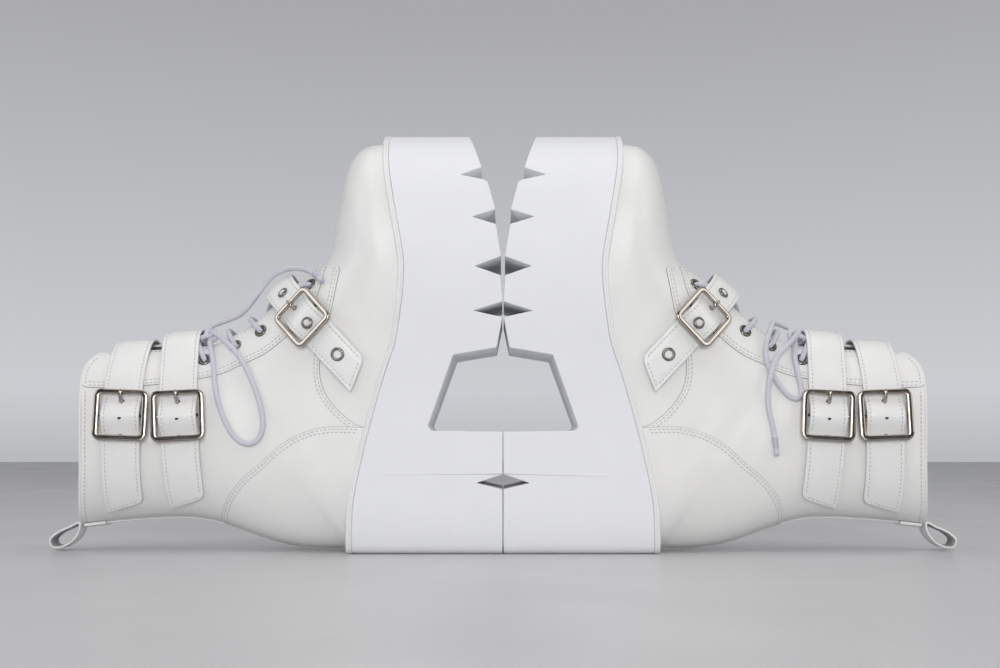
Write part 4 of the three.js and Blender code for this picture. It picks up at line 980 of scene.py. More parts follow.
def strap_info(d):
    w = d["w"]
    e = w / 2
    # section: across, height over the underside
    sec = [(-e, 0.5), (-e + 0.1, 1.25), (-e + 0.5, 1.7), (-e + 1.3, 1.82), (-e + 2.0, 1.78), (-e + 2.5, 1.64), (-e + 3.0, 1.78), (-e * 0.45, 1.86), (0, 1.88),
           (e * 0.45, 1.86), (e - 3.0, 1.78), (e - 2.5, 1.64), (e - 2.0, 1.78), (e - 1.3, 1.82), (e - 0.5, 1.7), (e - 0.1, 1.25), (e, 0.5), (e - 0.5, 0.0), (0, 0.0), (-e + 0.5, 0.0)]
    curves = {}

    def curve(q):
        q = round(q, 4)
        if q not in curves:
            curves[q] = strap_curve(d["start"], d["dir"], q, 172, d["medial"] + 6)
        return curves[q]
    mid = curve(0.0)
    ls = np.arange(0, 160, 0.25)
    P, _ = mid(ls)
    c = float(ls[np.hypot(P[:, 0] - d["at"][0], P[:, 1] - d["at"][1]).argmin()])

    def hill(x, half):
        return np.where(np.abs(x) < half, np.cos(np.pi * x / (2 * half)) ** 2, 0.0)

    def base(x):
        far = np.where(x < 0, np.minimum(1, (d["medial"] + x) / 12), 1.0)
        return 0.7 + (STRAP_BASE - 0.7) * far + CROWN * hill(x - c, CROWN_HALF) + d["lift"] * hill(x, d["reach"])
    end = c + d["tail"]
    Pc, Nc = mid(c)
    A, B = mid(c - 4)[0][0], mid(c + 4)[0][0]
    n = Nc[0]
    u = B - A
    u = u - np.dot(u, n) * n
    u /= np.linalg.norm(u)
    v = np.cross(n, u)
    v /= np.linalg.norm(v)
    return dict(d=d, sec=sec, curve=curve, mid=mid, c=c, base=base, end=end, o=Pc[0], u=u, v=v, n=n)


def strap_end(info, q):
    """how far the tail reaches at each place across, with rounded corners"""
    d, e = info["d"], info["d"]["w"] / 2
    f = (q + e) / (2 * e)
    g = (1 - f) if d["slant"] > 0 else f
    x = info["end"] - abs(d["slant"]) * g
    near = (e - q) if d["slant"] < 0 else (q + e)     # the drawn-back corner is rounder
    far = (q + e) if d["slant"] < 0 else (e - q)
    for dist, R in ((near, 4.2), (far, 1.6)):
        k = np.clip(R - dist, 0, R)
        x = x - (R - np.sqrt(np.maximum(R * R - k * k, 0)))
    return x


def ribbon_mesh(info, lens, tip=False, start_cap=True):
    """rounded strap between arc lengths; with tip, the last rows follow the tail's slanted end"""
    rows = []
    sec = info["sec"]
    qs = np.array([s[0] for s in sec])
    hs = np.array([s[1] for s in sec])
    x_rows = [np.full(len(sec), l) for l in lens]
    h_rows = [hs for l in lens]
    if tip:
        ends = np.array([strap_end(info, q) for q in qs])
        l0 = lens[-1]
        for f in np.linspace(0, 1, 9)[1:]:
            x_rows.append(l0 + (ends - 0.6 - l0) * f)
            h_rows.append(hs)
        for dl, k in ((-0.18, 0.8), (0.0, 0.4)):
            x_rows.append(ends + dl)
            h_rows.append(0.85 + (hs - 0.85) * k)
    X, Hh = np.array(x_rows), np.array(h_rows)
    pts = np.empty(X.shape + (3,))
    for j, q in enumerate(qs):
        P, N = info["curve"](q)(X[:, j])
        pts[:, j] = P + N * (info["base"](X[:, j]) + Hh[:, j])[:, None]
    n, k = X.shape
    faces = []
    mats = []
    for i in range(n - 1):
        for a in range(k):
            b = (a + 1) % k
            faces.append((i * k + a, (i + 1) * k + a, (i + 1) * k + b, i * k + b))
            # the underside and lower corner faces take the grey edge paint, which also paints the shade under the
            # strap's edge
            mats.append(1 if a in (k - 1, k - 2, k - 3) else 0)
    faces.append(tuple(range(k)))
    mats.append(0)
    faces.append(tuple((n - 1) * k + a for a in range(k))[::-1])
    mats.append(0)
    return pts.reshape(-1, 3), faces, mats


def check_out(P, F):
    v = 0.0
    for f in F:
        p = P[list(f)]
        for q in range(1, len(p) - 1):
            v += float(np.dot(p[0], np.cross(p[q], p[q + 1])))
    return F if v > 0 else [f[::-1] for f in F]


def strap_line(info, q, xs, up=1.85):
    P, N = info["curve"](q)(xs)
    return P + N * (info["base"](np.asarray(xs, float)) + up)[:, None], N


def local(info, pts):
    pts = np.asarray(pts, float)
    return info["o"] + pts[..., 0:1] * info["u"] + pts[..., 1:2] * info["v"] + pts[..., 2:3] * info["n"]


def frame_mesh(info):
    along, across, wire = info["d"]["frame"]
    a, b = along / 2 - wire / 2, across / 2 - wire / 2
    r = 3.4
    path, inward = [], []
    for cx, cy, a0 in ((a - r, b - r, 0), (-a + r, b - r, 90), (-a + r, -b + r, 180), (a - r, -b + r, 270)):
        for k in range(8):
            w = math.radians(a0 + 90 * k / 7)
            path.append((cx + r * math.cos(w), cy + r * math.sin(w)))
    dense = []
    m = len(path)
    for i in range(m):
        p, q = np.array(path[i]), np.array(path[(i + 1) % m])
        k = max(1, int(np.linalg.norm(q - p) / 3))
        for j in range(k):
            dense.append(p + (q - p) * j / k)
    path = np.array(dense)
    T = np.roll(path, -1, 0) - np.roll(path, 1, 0)
    T /= np.linalg.norm(T, axis=1, keepdims=True)
    out = np.stack([T[:, 1], -T[:, 0]], 1)
    sec = rounded(1.0, 1.0, 3.2, 20)
    pts = []
    for p, o in zip(path, out):
        # the bar that the strap slides under first is a little slimmer
        k = min(1, max(0, (abs(o[0]) - 0.75) / 0.25)) if p[0] < 0 else 0
        hw = wire / 2 * (1 - 0.14 * k)
        ht = FRAME_T / 2
        for s in sec:
            pts.append((p[0] + o[0] * s[0] * hw, p[1] + o[1] * s[0] * hw, FRAME_N + ht + s[1] * ht))
    k = len(sec)
    n = len(path)
    F = []
    for i in range(n):
        j = (i + 1) % n
        for q in range(k):
            F.append((i * k + q, i * k + (q + 1) % k, j * k + (q + 1) % k, j * k + q))
    pts = np.array(pts)
    F = check_out(pts, F)
    w = np.linspace(0, 2 * np.pi, 16, endpoint=False)
    # centre bar with its ends turned up into the sides
    ys = across / 2 - wire * 0.55
    bp = catmull([(0, -ys, FRAME_N + 1.0), (0, -ys + 0.5, BAR_N + 0.5), (0, -ys + 2.2, BAR_N), (0, 0, BAR_N), (0, ys - 2.2, BAR_N), (0, ys - 0.5, BAR_N + 0.5), (0, ys, FRAME_N + 1.0)], 60)
    bar = sweep(bp, np.tile([1.0, 0, 0], (len(bp), 1)), np.stack([BAR_R * np.cos(w), BAR_R * np.sin(w)], 1))
    P, F = merge([(pts, F), bar])
    return local(info, P), F


def prong_mesh(info):
    along, across, wire = info["d"]["frame"]
    a = along / 2
    R = BAR_R + GAP + 0.95
    top = FRAME_N + FRAME_T + 0.35 + 1.0
    pts = [[-(R - 0.7), BAR_N - 0.5], [-5, BAR_N - 1.0], [-7.5, BAR_N - 0.2], [-10, BAR_N + 2.4], [-a + wire + 1.7, top - 0.8], [-a + wire - 1, top], [-a + 0.4, top - 0.1]]
    path = catmull([[x, 0, z] for x, z in pts], 60)
    w = np.linspace(0, 2 * np.pi, 16, endpoint=False)
    sc = np.interp(np.linspace(0, 1, 61), [0, 0.25, 0.75, 0.93, 0.985, 1], [1.05, 1.15, 1.12, 0.95, 0.7, 0.25])
    rod = sweep(path, np.tile([0, 1.0, 0], (61, 1)), np.stack([0.95 * np.cos(w), 1.15 * np.sin(w)], 1), scale=sc)
    ww = np.linspace(0, 2 * np.pi, 25)[:-1]
    r0 = BAR_R + GAP + 0.45
    ring = np.stack([r0 * np.cos(ww), np.zeros(24), BAR_N + r0 * np.sin(ww)], 1)
    eye = sweep(ring, np.tile([0, 1.0, 0], (24, 1)), rounded(0.45, 1.1, 2.6, 10), closed=True)
    P, F = merge([rod, eye])
    return local(info, P), F


INFO = {k: strap_info(d) for k, d in STRAPS.items()}
STRAP_MESH = {}
for name, info in INFO.items():
    c, end, med = info["c"], info["end"], info["d"]["medial"]
    seam = c - info["d"]["frame"][0] / 2 + 1.9
    first = np.concatenate([np.linspace(-med, -4, int(med / 2.6)), np.linspace(-3, 3, 9), np.linspace(4, seam, int(seam / 2.2))])
    second = np.linspace(seam - 0.6, end - 11, int((end - 11 - seam) / 1.9))
    A, AF, AM = ribbon_mesh(info, first)
    B, BF, BM = ribbon_mesh(info, second, tip=True)
    af = check_out(A, AF)
    bf = check_out(B, BF)
    row = []
    e = info["d"]["w"] / 2 - 2.5
    fr = info["d"]["frame"][0] / 2
    for q in (-e, e):
        row.append(stitches(*strap_line(info, q, np.arange(-med + 2, c - fr + 1.5, 0.7), 1.66)))
    s1 = merge([r for r in row if len(r[1])])
    row = []
    for q in (-e, e):
        lim = float(strap_end(info, q)) - 2.4
        row.append(stitches(*strap_line(info, q, np.arange(c - fr + 5.0, c + fr - 4.5, 0.7), 1.66)))
        row.append(stitches(*strap_line(info, q, np.arange(c + fr + 0.5, lim, 0.7), 1.66)))
    # along the slanted tip
    qs = np.linspace(-e, e, 30)
    xs = np.array([strap_end(info, q) for q in qs]) - 2.6
    P = np.empty((30, 3)); N = np.empty((30, 3))
    for i, (q, x) in enumerate(zip(qs, xs)):
        qq = float(np.clip(round(q, 1), -e, e))
        p, nn = info["curve"](qq)(x)
        P[i] = p[0] + nn[0] * (float(info["base"](np.array([x]))[0]) + 1.8)
        N[i] = nn[0]
    row.append(stitches(P, N))
    s2 = merge([r for r in row if len(r[1])])
    # holes or eyelets along the middle; the holes are near-black discs on the strap, painted shade in place of an
    # opening
    rings, hole_shade_discs = [], []
    if name == "instep":
        for x in (c - 27.0, c - 18.8 - 0.0, c + 5.6, c + 34.0):
            up = 2.45 if x < c + 10 and x > c else 1.75
            p, nn = strap_line(info, 0.0, np.array([x]), up)
            p2, _ = strap_line(info, 0.0, np.array([x + 1.0]), up)
            if x < c - 17.5:
                rings.append((0, lathe(p[0], nn[0], p2[0] - p[0], [(r_ * 0.86, h_) for r_, h_ in RING])))
                hole_shade_discs.append((0, lathe(p[0], nn[0], p2[0] - p[0], [(0.0, 0.1), (1.3, 0.1), (2.35, 0.1)])))
            else:
                sc = 0.88 if x < c + 10 else 1.0
                rings.append((1, lathe(p[0], nn[0], p2[0] - p[0], [(r_ * sc, h_) for r_, h_ in RING])))
        rings.pop(1)
        hole_shade_discs.pop(1)
    else:
        for x in (c + 2.0, c + 12.6):
            p, nn = strap_line(info, 0.0, np.array([x]), 1.86)
            p2, _ = strap_line(info, 0.0, np.array([x + 1.0]), 1.86)
            hole_shade_discs.append((1, lathe(p[0], nn[0], p2[0] - p[0], [(0.0, 0.02), (0.6, 0.03), (1.05, 0.05), (1.25, 0.0)], 16)))
    x = c - 9.0
    p, nn = strap_line(info, 0.0, np.array([x]), 1.9)
    p2, _ = strap_line(info, 0.0, np.array([x + 1.0]), 1.9)
    hole_shade_discs.append((1, lathe(p[0], nn[0], p2[0] - p[0], [(0.0, 0.04), (1.1, 0.05), (1.75, 0.06), (2.0, 0.0)], 20)))
    P1, _ = info["mid"](c + TAIL_START - 3.0)
    P2, _ = info["mid"](c + TAIL_START + 4.0)
    STRAP_MESH[name] = dict(A=(A, af, AM), B=(B, bf, BM), s1=s1, s2=s2, rings=rings, hole_shade_discs=hole_shade_discs, start=P1[0], stop=P2[0],
                            frame=frame_mesh(info), prong=prong_mesh(info))


# ------------------------------------------------------------------ the upper's panels
def wrinkle(B):
    """soft unevenness of stuffed leather, the same for every layer"""
    x, y, z = B[..., 0], B[..., 1], B[..., 2]
    a = 0.16 * np.sin(x * 0.085 + y * 0.05 + 1.3) * np.sin(y * 0.075 - z * 0.06 + 0.4)
    b = 0.10 * np.sin(x * 0.16 - y * 0.11 + z * 0.09 + 2.1) * np.sin(y * 0.19 + 0.7)
    # flex creases across the instep and ankle
    d = np.abs(y - 128 - (x - 190) * -0.55)
    c = -0.16 * np.exp(-((x - 150) / 40) ** 2 - ((y - 182) / 26) ** 2) * (1 + np.sin(0.42 * (x * 0.75 + y * 0.95)))
    return a + b + c


def skin(t, phi, off):
    B = on_upper(t, phi)
    return B + normal_at(t, phi) * (off + wrinkle(B))[..., None]


def skin_side(L, H, side, off):
    P, N, s, ok = side_point(L, H, side)
    good = ok & (s > 0.002) & (s < 0.999)
    return (P + N * (off + wrinkle(P))[:, None])[good], N[good]


def tgrid(a, b, per):
    n = max(2, int(round((b - a) * per)) + 1)
    return np.linspace(a, b, n)


PHI = np.linspace(-np.pi, np.pi, 193)
above_welt = lambda P, d: (welt_h(P[..., 0]) + d) - P[..., 1]
vamp_poly = np.concatenate([shift(VAMP_C, -5.0)[1:], [[84, 40], [330, 40], [330, 190]]])
quarter_poly = np.concatenate([
    [[-40, 300]], COLLAR_C[COLLAR_C[:, 0] < 123], shift(FACING_C[(FACING_C[:, 0] < 199) & (FACING_C[:, 1] < 291)], 7.0),
    [[199.0, 130.0], [199.0, 113.9], [198.0, 112.6]], VAMP_C[(VAMP_C[:, 0] < 197) & (VAMP_C[:, 1] > 60)], [[60, 60], [-40, 60]]])
facing_poly = np.concatenate([
    COLLAR_C[COLLAR_C[:, 0] > 116], [[240, 272], [240, 190], [199.0, 190], [199.0, 122.0]],
    FACING_C[(FACING_C[:, 0] < 198) & (FACING_C[:, 1] < 291.5)][::-1]])
counter_poly = np.concatenate([COUNTER_C[COUNTER_C[:, 1] > 61], [[87.9, 40], [-60, 40], [-60, 194]]])
lining_poly = np.concatenate([COLLAR_C + [0, -0.6], [[330, 270], [330, 40], [-60, 40], [-60, 300]]])


def panel_fields():
    return {
        "vamp": (tgrid(-1, 14.6, 12), lambda P: np.maximum(poly_sdf(P[..., 0], P[..., 1], vamp_poly), above_welt(P, 1.0)), 0.0, -1.3),
        "quarters": (tgrid(8.4, 26.6, 9), lambda P: np.maximum(poly_sdf(P[..., 0], P[..., 1], quarter_poly), above_welt(P, 1.0)), 0.75, -0.6),
        "counter": (tgrid(12.0, 21.6, 11), lambda P: np.maximum(poly_sdf(P[..., 0], P[..., 1], counter_poly), above_welt(P, 1.0)), 1.4, -0.2),
    }


PANELS, EDGES = {}, {}
for name, (us, F, top, low) in panel_fields().items():
    PANELS[name] = sheet(us, PHI, F, top, low, 0.75, wrinkle)
    EDGES[name] = edge_mats(PANELS[name][1])
us = tgrid(8.4, 26.6, 9)
facing_phi = np.linspace(0.02, 2.4, 86)
PANELS["facing_outer"] = sheet(us, facing_phi, lambda P: np.maximum(poly_sdf(P[..., 0], P[..., 1], facing_poly), OPEN_HALF - P[..., 2]), 1.45, -1.4, 0.7, wrinkle)
EDGES["facing_outer"] = edge_mats(PANELS["facing_outer"][1])
PANELS["facing_inner"] = sheet(us, -facing_phi[::-1], lambda P: np.maximum(poly_sdf(P[..., 0], P[..., 1], facing_poly), OPEN_HALF + P[..., 2]), 1.45, -1.4, 0.7, wrinkle)
EDGES["facing_inner"] = edge_mats(PANELS["facing_inner"][1])
PANELS["backstay"] = sheet(tgrid(17.6, 26.4, 8), np.linspace(-np.pi, np.pi, 721), lambda P: np.maximum(np.maximum(np.abs(P[..., 2] - 0.1) - 3.0, 110 - P[..., 1]), poly_sdf(P[..., 0], P[..., 1], lining_poly)), 2.1, 0.6, 0.6, wrinkle)
# lining, turned to face inwards
LP, LF = sheet(tgrid(1.0, 26.6, 5), np.linspace(-np.pi, np.pi, 121), lambda P: np.maximum(np.maximum(poly_sdf(P[..., 0], P[..., 1], lining_poly), above_welt(P, 2.0)),
               np.where(P[..., 0] < 196, (OPEN_HALF - 0.6) - np.abs(P[..., 2]), -9.0) * (P[..., 1] > 120)), -2.3, -2.9, 0.2)
PANELS["lining"] = (LP, [f[::-1] for f in LF])
# tongue: a padded sheet under the opening
tt = np.linspace(8.7, 24.6, 116)
ff = np.linspace(-0.70, 0.70, 41)
T2, F2 = np.meshgrid(tt, ff, indexing="ij")
edge = np.clip(np.minimum((0.70 - np.abs(F2)) / 0.16, np.minimum((T2 - 8.7) / 0.35, (24.6 - T2) / 0.35)), 0, 1)
puff = np.sqrt(np.clip(1 - (1 - edge) ** 2, 0, 1))
Bt, Nt = on_upper(T2, F2), normal_at(T2, F2)
top = Bt + Nt * (-WALL - 3.25 + 1.35 * puff)[..., None]
low = Bt + Nt * (-WALL - 3.25 - 1.35 * puff)[..., None]
n, k = T2.shape
idx = np.arange(n * k).reshape(n, k)
tf = []
for i in range(n - 1):
    for j in range(k - 1):
        tf.append((idx[i, j], idx[i + 1, j], idx[i + 1, j + 1], idx[i, j + 1]))
        tf.append(tuple(x + n * k for x in (idx[i, j + 1], idx[i + 1, j + 1], idx[i + 1, j], idx[i, j])))
PANELS["tongue"] = (np.concatenate([top.reshape(-1, 3), low.reshape(-1, 3)]), tf)

# rolled collar edge
def collar_path(side):
    c = COLLAR_C[(COLLAR_C[:, 0] > 19.0) & (COLLAR_C[:, 0] < 144)]
    P, N, s, ok = side_point(c[:, 0], c[:, 1], side)
    keep = ok & (s > 0) & (s < 1) & (np.abs(P[:, 2]) > OPEN_HALF - 0.3)
    keep |= ok & (s > 0.5) & (s <= 1)
    return P[keep], N[keep]


Pa, Na = collar_path(1)
Pb, Nb = collar_path(-1)
cp = np.concatenate([Pa[::-1], Pb])
cn = np.concatenate([Na[::-1], Nb])
w = np.linspace(0, 2 * np.pi, 16, endpoint=False)
cpath = respace(np.concatenate([cp, cn], 1), 260)
cN = cpath[:, 3:] / np.linalg.norm(cpath[:, 3:], axis=1, keepdims=True)
cpath = cpath[:, :3] - cN * 0.75
COLLAR_ROLL = sweep(cpath, cN, rounded(1.15, 2.15, 2.4, 16))

# seams' thread
SEAM = []
for side in (1, -1):
    for line, offs, lim, h in (
            (VAMP_LOW, (-1.7, -3.9), lambda p: (p[:, 1] > 99), 0.78),
            (COUNTER_C, (-1.7, -3.9), lambda p: (p[:, 0] > 5) & (p[:, 1] > 99), 1.43),
            (FACING_C, (1.7, 3.9), lambda p: (p[:, 1] < 288) & (p[:, 0] < 197.5), 1.48)):
        for o_ in offs:
            p = respace(shift(line, o_), 400)
            p = p[lim(p)]
            P, N = skin_side(p[:, 0], p[:, 1], side, h)
            SEAM.append(stitches(P, N))
    p = respace(shift(COLLAR_C, -3.4), 400)
    p = p[(p[:, 0] > 21) & (p[:, 0] < 114)]
    P, N = skin_side(p[:, 0], p[:, 1], side, 0.78)
    SEAM.append(stitches(P, N))
    p = p = respace(shift(COLLAR_C, -3.4), 400)
    p = p[(p[:, 0] > 117) & (p[:, 0] < 137)]
    P, N = skin_side(p[:, 0], p[:, 1], side, 1.48)
    SEAM.append(stitches(P, N))
    # across the facing's front end
    zs = np.linspace(124.5, 134, 30)
    P, N = skin_side(np.full(30, 196.9), zs, side, 1.48)
    if len(P):
        SEAM.append(stitches(P, N))
    zs = np.linspace(114.5, 120.5, 16)
    P, N = skin_side(np.full(16, 197.1), zs, side, 0.78)
    SEAM.append(stitches(P, N))
    # along the facing's edge at the opening
    ts = np.linspace(9.9, 25.6, 420)
    ph = np.linspace(0.03, 1.6, 240)
    G, Q = np.meshgrid(ts, ph, indexing="ij")
    Wd = on_upper(G, side * Q)[..., 2] * side
    best = np.abs(Wd - (OPEN_HALF + 2.3)).argmin(1)
    phs = side * ph[best]
    B = on_upper(ts, phs)
    ok = poly_sdf(B[:, 0], B[:, 1], facing_poly) < -2.5
    P = skin(ts[ok], phs[ok], 1.48)
    SEAM.append(stitches(P, normal_at(ts[ok], phs[ok])))
SEAM_MESH = merge([s for s in SEAM if len(s[1])])

# eyelets in the facings, each with a near-black disc that paints the shade inside its hole
EYE_RINGS, EYE_HOLE_SHADES = [], []
for i, (l, h) in enumerate(EYELETS[:5]):
    for sd in (1, -1):
        P, N, s, ok = side_point([l], [h], sd)
        o = P[0] + N[0] * (1.45 + float(wrinkle(P)[0]))
        EYE_RINGS.append(lathe(o, N[0], np.array([0.3, 1.0, 0.2]), RING))
        EYE_HOLE_SHADES.append(lathe(o, N[0], np.array([0.3, 1.0, 0.2]), [(0.0, 0.06), (1.4, 0.06), (2.85, 0.08)]))
EYE_RINGS, EYE_HOLE_SHADES = merge(EYE_RINGS), merge(EYE_HOLE_SHADES)

# root of the pull loop, sewn over the back of the collar
ROOT = sheet(tgrid(24.0, 26.6, 14), np.linspace(-np.pi, np.pi, 361), lambda P: np.maximum(np.maximum(np.abs(P[..., 2]) - LOOP_W / 2, 283 - P[..., 1]), np.maximum(poly_sdf(P[..., 0], P[..., 1], lining_poly), P[..., 0] - 60)), 3.3, 1.2, 0.6, wrinkle)


# ------------------------------------------------------------------ platform and rand
def plan_loop(inset=0.0, n=420):
    a = [(l, c + w_) for l, w_, c in PLAN]
    b = [(l, c - w_) for l, w_, c in PLAN][::-1]
    loop = catmull(a + b + [(0.0, -10.0), (0.0, 10.0)], n, closed=True)[:-1]
    loop[:, 0] = np.maximum(loop[:, 0], 0.0)
    if inset:
        e_ = np.roll(loop, -1, 0) - np.roll(loop, 1, 0)
        e_ /= np.linalg.norm(e_, axis=1, keepdims=True)
        area2 = np.sum(loop[:, 0] * np.roll(loop[:, 1], -1) - np.roll(loop[:, 0], -1) * loop[:, 1])
        nrm = np.stack([e_[:, 1], -e_[:, 0]], 1) * (1 if area2 > 0 else -1)
        loop = loop - nrm * inset
    return loop


def prism_obj(name, loop3_a, loop3_b):
    me = bpy.data.meshes.new(name)
    n = len(loop3_a)
    P = np.concatenate([loop3_a, loop3_b])
    F = [tuple(range(n))[::-1], tuple(range(n, 2 * n))] + [(i, (i + 1) % n, n + (i + 1) % n, n + i) for i in range(n)]
    me.from_pydata(P.tolist(), [], F)
    bm = bmesh.new()
    bm.from_mesh(me)
    bmesh.ops.recalc_face_normals(bm, faces=bm.faces)
    bm.to_mesh(me)
    bm.free()
    o = bpy.data.objects.new(name, me)
    bpy.context.scene.collection.objects.link(o)
    return o


def evaluated(o):
    bpy.context.view_layer.update()
    dg = bpy.context.evaluated_depsgraph_get()
    return bpy.data.meshes.new_from_object(o.evaluated_get(dg))


side_loop = np.array([*UNDER[:-1], [-5, GROUND]] + [p for p in WELT_C.tolist() if -4.9 < p[0] < 299] + [[300, 80.5], [300, 24.9]])
z0 = np.full(len(side_loop), -70.0)
A = prism_obj("tmp_side", np.column_stack([side_loop, z0]), np.column_stack([side_loop, -z0]))
pl = plan_loop(0.15, 300)
B = prism_obj("tmp_plan", np.column_stack([pl[:, 0], np.full(len(pl), -5.0), pl[:, 1]]), np.column_stack([pl[:, 0], np.full(len(pl), 122.0), pl[:, 1]]))
mod = A.modifiers.new("b", "BOOLEAN")
mod.operation = "INTERSECT"
mod.solver = "EXACT"
mod.object = B
m2 = A.modifiers.new("v", "BEVEL")
m2.width = 0.6
m2.segments = 2
m2.miter_outer = "MITER_ARC"
m2.miter_inner = "MITER_SHARP"
m2.loop_slide = False
m2.limit_method = "ANGLE"
m2.angle_limit = math.radians(38)
m2.use_clamp_overlap = False
plat = evaluated(A)
co = np.array([v.co for v in plat.vertices], float)
PLATFORM = (co, [tuple(p.vertices) for p in plat.polygons])
for o in (A, B):
    bpy.data.objects.remove(o)

rl = plan_loop(0.0, 460)
e_ = np.roll(rl, -1, 0) - np.roll(rl, 1, 0)
e_ /= np.linalg.norm(e_, axis=1, keepdims=True)
area2 = np.sum(rl[:, 0] * np.roll(rl[:, 1], -1) - np.roll(rl[:, 0], -1) * rl[:, 1])
rn = np.stack([e_[:, 1], -e_[:, 0]], 1) * (1 if area2 > 0 else -1)
rand_sec = [(0.05, 0.12), (0.28, 0.5), (0.34, 1.25), (0.16, 1.62), (0.0, 1.82), (0.16, 2.02), (0.34, 2.4), (0.30, 3.3), (0.0, 3.85), (-0.6, 4.15), (-2.4, 4.3), (-5.0, 4.3), (-5.0, 0.12)]
rp = []
for (l, w_), nn in zip(rl, rn):
    for d_, h in rand_sec:
        x = max(l + nn[0] * d_, 0.0)
        rp.append((x, welt_h(l) + h, w_ + nn[1] * d_))
rp = np.array(rp)
k = len(rand_sec)
rf = [(i * k + a, i * k + (a + 1) % k, ((i + 1) % len(rl)) * k + (a + 1) % k, ((i + 1) % len(rl)) * k + a) for i in range(len(rl)) for a in range(k)]
RAND = (rp, check_out(rp, rf))

# pull loop
lm = catmull([[a, b, 0.0] for a, b in LOOP_MID], 90, closed=True)[:-1]
T = np.roll(lm, -1, 0) - np.roll(lm, 1, 0)
T /= np.linalg.norm(T, axis=1, keepdims=True)
area2 = np.sum(lm[:, 0] * np.roll(lm[:, 1], -1) - np.roll(lm[:, 0], -1) * lm[:, 1])
out_n = np.stack([T[:, 1], -T[:, 0], np.zeros(len(lm))], 1) * (1 if area2 > 0 else -1)
h = LOOP_W / 2
loop_sec = [(-h, -0.4), (-h, 0.4), (-h + 0.35, 0.85), (-h + 1.6, 0.98), (-h + 2.1, 0.86), (-h + 2.6, 0.98), (0, 1.0), (h - 2.6, 0.98), (h - 2.1, 0.86), (h - 1.6, 0.98), (h - 0.35, 0.85), (h, 0.4), (h, -0.4),
            (h - 0.35, -0.85), (0, -0.98), (-h + 0.35, -0.85)]
lp = np.array([p + np.array([0, 0, 1.0]) * a + nn * b for p, nn in zip(lm, out_n) for a, b in loop_sec])
k = len(loop_sec)
lf = [(i * k + a, i * k + (a + 1) % k, ((i + 1) % len(lm)) * k + (a + 1) % k, ((i + 1) % len(lm)) * k + a) for i in range(len(lm)) for a in range(k)]
lfm = [1 if a in (12, 13, 14, 15) else 0 for i in range(len(lm)) for a in range(k)]
PULL = (lp, check_out(lp, lf), lfm)
ps = []
for q in (-h + 2.1, h - 2.1):
    line = lm + out_n * 0.86 + np.array([0, 0, 1.0]) * q
    line = np.roll(line, -4, 0)[:-8]
    nn = np.roll(out_n, -4, 0)[:-8]
    ps.append(stitches(line, nn))
PULL_ST = merge(ps)

def wall_normals(o):
    """the platform's upright wall is shaded by the outline's own normals, so that cuts in it leave no streaks"""
    me = o.data
    co = np.empty(len(me.vertices) * 3)
    me.vertices.foreach_get("co", co)
    co = co.reshape(-1, 3)
    L, W = co[:, 2] * 1000, MID_W - co[:, 1] * 1000
    near = ((L[:, None] - rl[None, :, 0]) ** 2 + (W[:, None] - rl[None, :, 1]) ** 2).argmin(1)
    vn = np.column_stack([np.zeros(len(co)), -rn[near, 1], rn[near, 0]])
    cn = np.array([c.vector[:] for c in me.corner_normals])
    for p in me.polygons:
        n = np.array(p.normal[:])
        a = vn[list(p.vertices)]
        mean = a.mean(0)
        ln = np.linalg.norm(mean)
        if ln < 0.5 or n @ mean / ln < math.cos(math.radians(14)):
            continue
        for k, li in enumerate(p.loop_indices):
            cn[li] = a[k] if a[k] @ n > math.cos(math.radians(25)) else n
    me.normals_split_custom_set(cn.tolist())


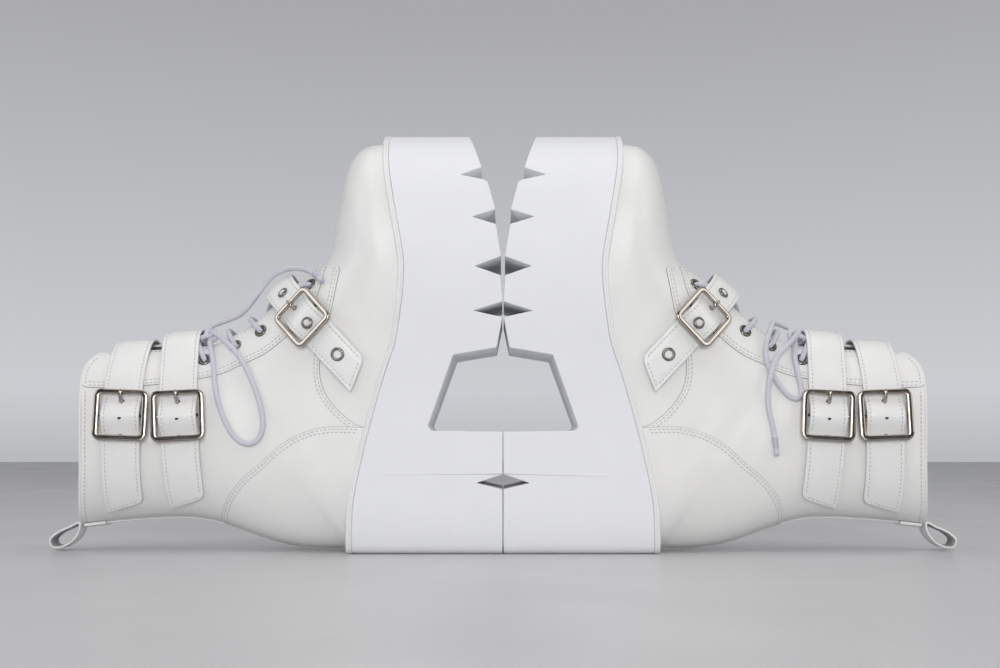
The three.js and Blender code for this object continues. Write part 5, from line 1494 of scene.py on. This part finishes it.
# ------------------------------------------------------------------ both boots
for side in ("left", "right"):
    boot = side + "_boot"
    plat_o = make("platform", side, *PLATFORM, "platform_foam", boot, ("platform_sole",), "platform", smooth=38)
    wall_normals(plat_o)
    make("rand", side, *RAND, "rand_rubber", boot, ("rand_strip",), "rand", smooth=60)
    make("vamp_panel", side, *PANELS["vamp"], "upper_leather", boot, ("vamp",), "upper", smooth=70, face_mats=EDGES["vamp"], mats=["upper_leather", "cut_edge_and_shade_line"])
    make("quarter_panels", side, *PANELS["quarters"], "upper_leather", boot, ("outer_quarter", "inner_quarter"), "upper", smooth=70, face_mats=EDGES["quarters"], mats=["upper_leather", "cut_edge_and_shade_line"])
    make("counter_panel", side, *PANELS["counter"], "upper_leather", boot, ("heel_counter",), "upper", smooth=70, face_mats=EDGES["counter"], mats=["upper_leather", "cut_edge_and_shade_line"])
    make("facing_panel_outer", side, *PANELS["facing_outer"], "upper_leather", boot, ("outer_facing",), "upper", smooth=70, face_mats=EDGES["facing_outer"], mats=["upper_leather", "cut_edge_and_shade_line"])
    make("facing_panel_inner", side, *PANELS["facing_inner"], "upper_leather", boot, ("inner_facing",), "upper", smooth=70, face_mats=EDGES["facing_inner"], mats=["upper_leather", "cut_edge_and_shade_line"])
    make("backstay", side, *PANELS["backstay"], "strap_leather", boot, (), "upper", smooth=70)
    make("shaft_lining", side, *PANELS["lining"], "lining_cloth", boot, (), "lining", smooth=70)
    make("tongue_pad", side, *PANELS["tongue"], "upper_leather", boot, ("tongue",), "upper", smooth=80)
    make("collar_roll", side, *COLLAR_ROLL, "upper_leather", boot, (), "upper", smooth=80)
    make("seam_thread", side, *SEAM_MESH, "thread", boot, (), "upper", smooth=None)
    make("facing_eyelets", side, *EYE_RINGS, "eyelet_metal", boot, (), "metal", smooth=60)
    make("facing_eyelet_hole_shades", side, *EYE_HOLE_SHADES, "hole_dark", boot, (), None, smooth=60)
    make("loop_root", side, *ROOT, "strap_leather", boot, (), "strap", smooth=70)
    make("pull_strap", side, PULL[0], PULL[1], None, side + "_loop", ("pull_loop",), "strap", smooth=55, face_mats=PULL[2], mats=["strap_leather", "lining_cloth"])
    make("pull_strap_thread", side, *PULL_ST, "thread", side + "_loop", (), "strap", smooth=None)
    for name, sm in STRAP_MESH.items():
        pre = side + "_" + name
        A = make(name + "_strap_main", side, sm["A"][0], sm["A"][1], None, boot, (name + "_strap",), "strap", smooth=60, face_mats=sm["A"][2], mats=["strap_leather", "strap_edge_paint_and_shade"])
        B = make(name + "_strap_end", side, sm["B"][0], sm["B"][1], None, None, (name + "_strap_tail",), "strap", smooth=60, face_mats=sm["B"][2], mats=["strap_leather", "strap_edge_paint_and_shade"])
        s0, s1_ = to_row(sm["start"], side), to_row(sm["stop"], side)
        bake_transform(B)
        make(name + "_thread_main", side, *sm["s1"], "thread", boot, (), "strap", smooth=None)
        C = make(name + "_thread_end", side, *sm["s2"], "thread", None, (), "strap", smooth=None)
        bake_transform(C)
        for which in (0, 1):
            rr = [m for w_, m in sm["rings"] if w_ == which]
            if rr:
                R = make(name + "_strap_eyelets" + str(which), side, *merge(rr), "eyelet_metal", boot if which == 0 else None, (), "metal", smooth=60)
                if which:
                    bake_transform(R)
            dd = [m for w_, m in sm["hole_shade_discs"] if w_ == which]
            if dd:
                D = make(name + "_strap_holes" + str(which), side, *merge(dd), "hole_dark", boot if which == 0 else None, (), None, smooth=60)
                if which:
                    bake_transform(D)
        make(name + "_buckle", side, *sm["frame"], "buckle_metal", pre + "_frame", (name + "_buckle_frame",), "metal", smooth=50)
        make(name + "_prong", side, *sm["prong"], "buckle_metal", pre + "_prong", (name + "_buckle_prong",), "metal", smooth=50)
    for node, mat in (("insole_board", "board"), ("footbed", "footbed_foam"), ("ankle_upper_chape", "strap_leather"), ("ankle_lower_chape", "strap_leather"), ("instep_chape", "strap_leather")):
        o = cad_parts[side + "_" + node]
        for s in o.material_slots:
            s.material = MATS[mat]
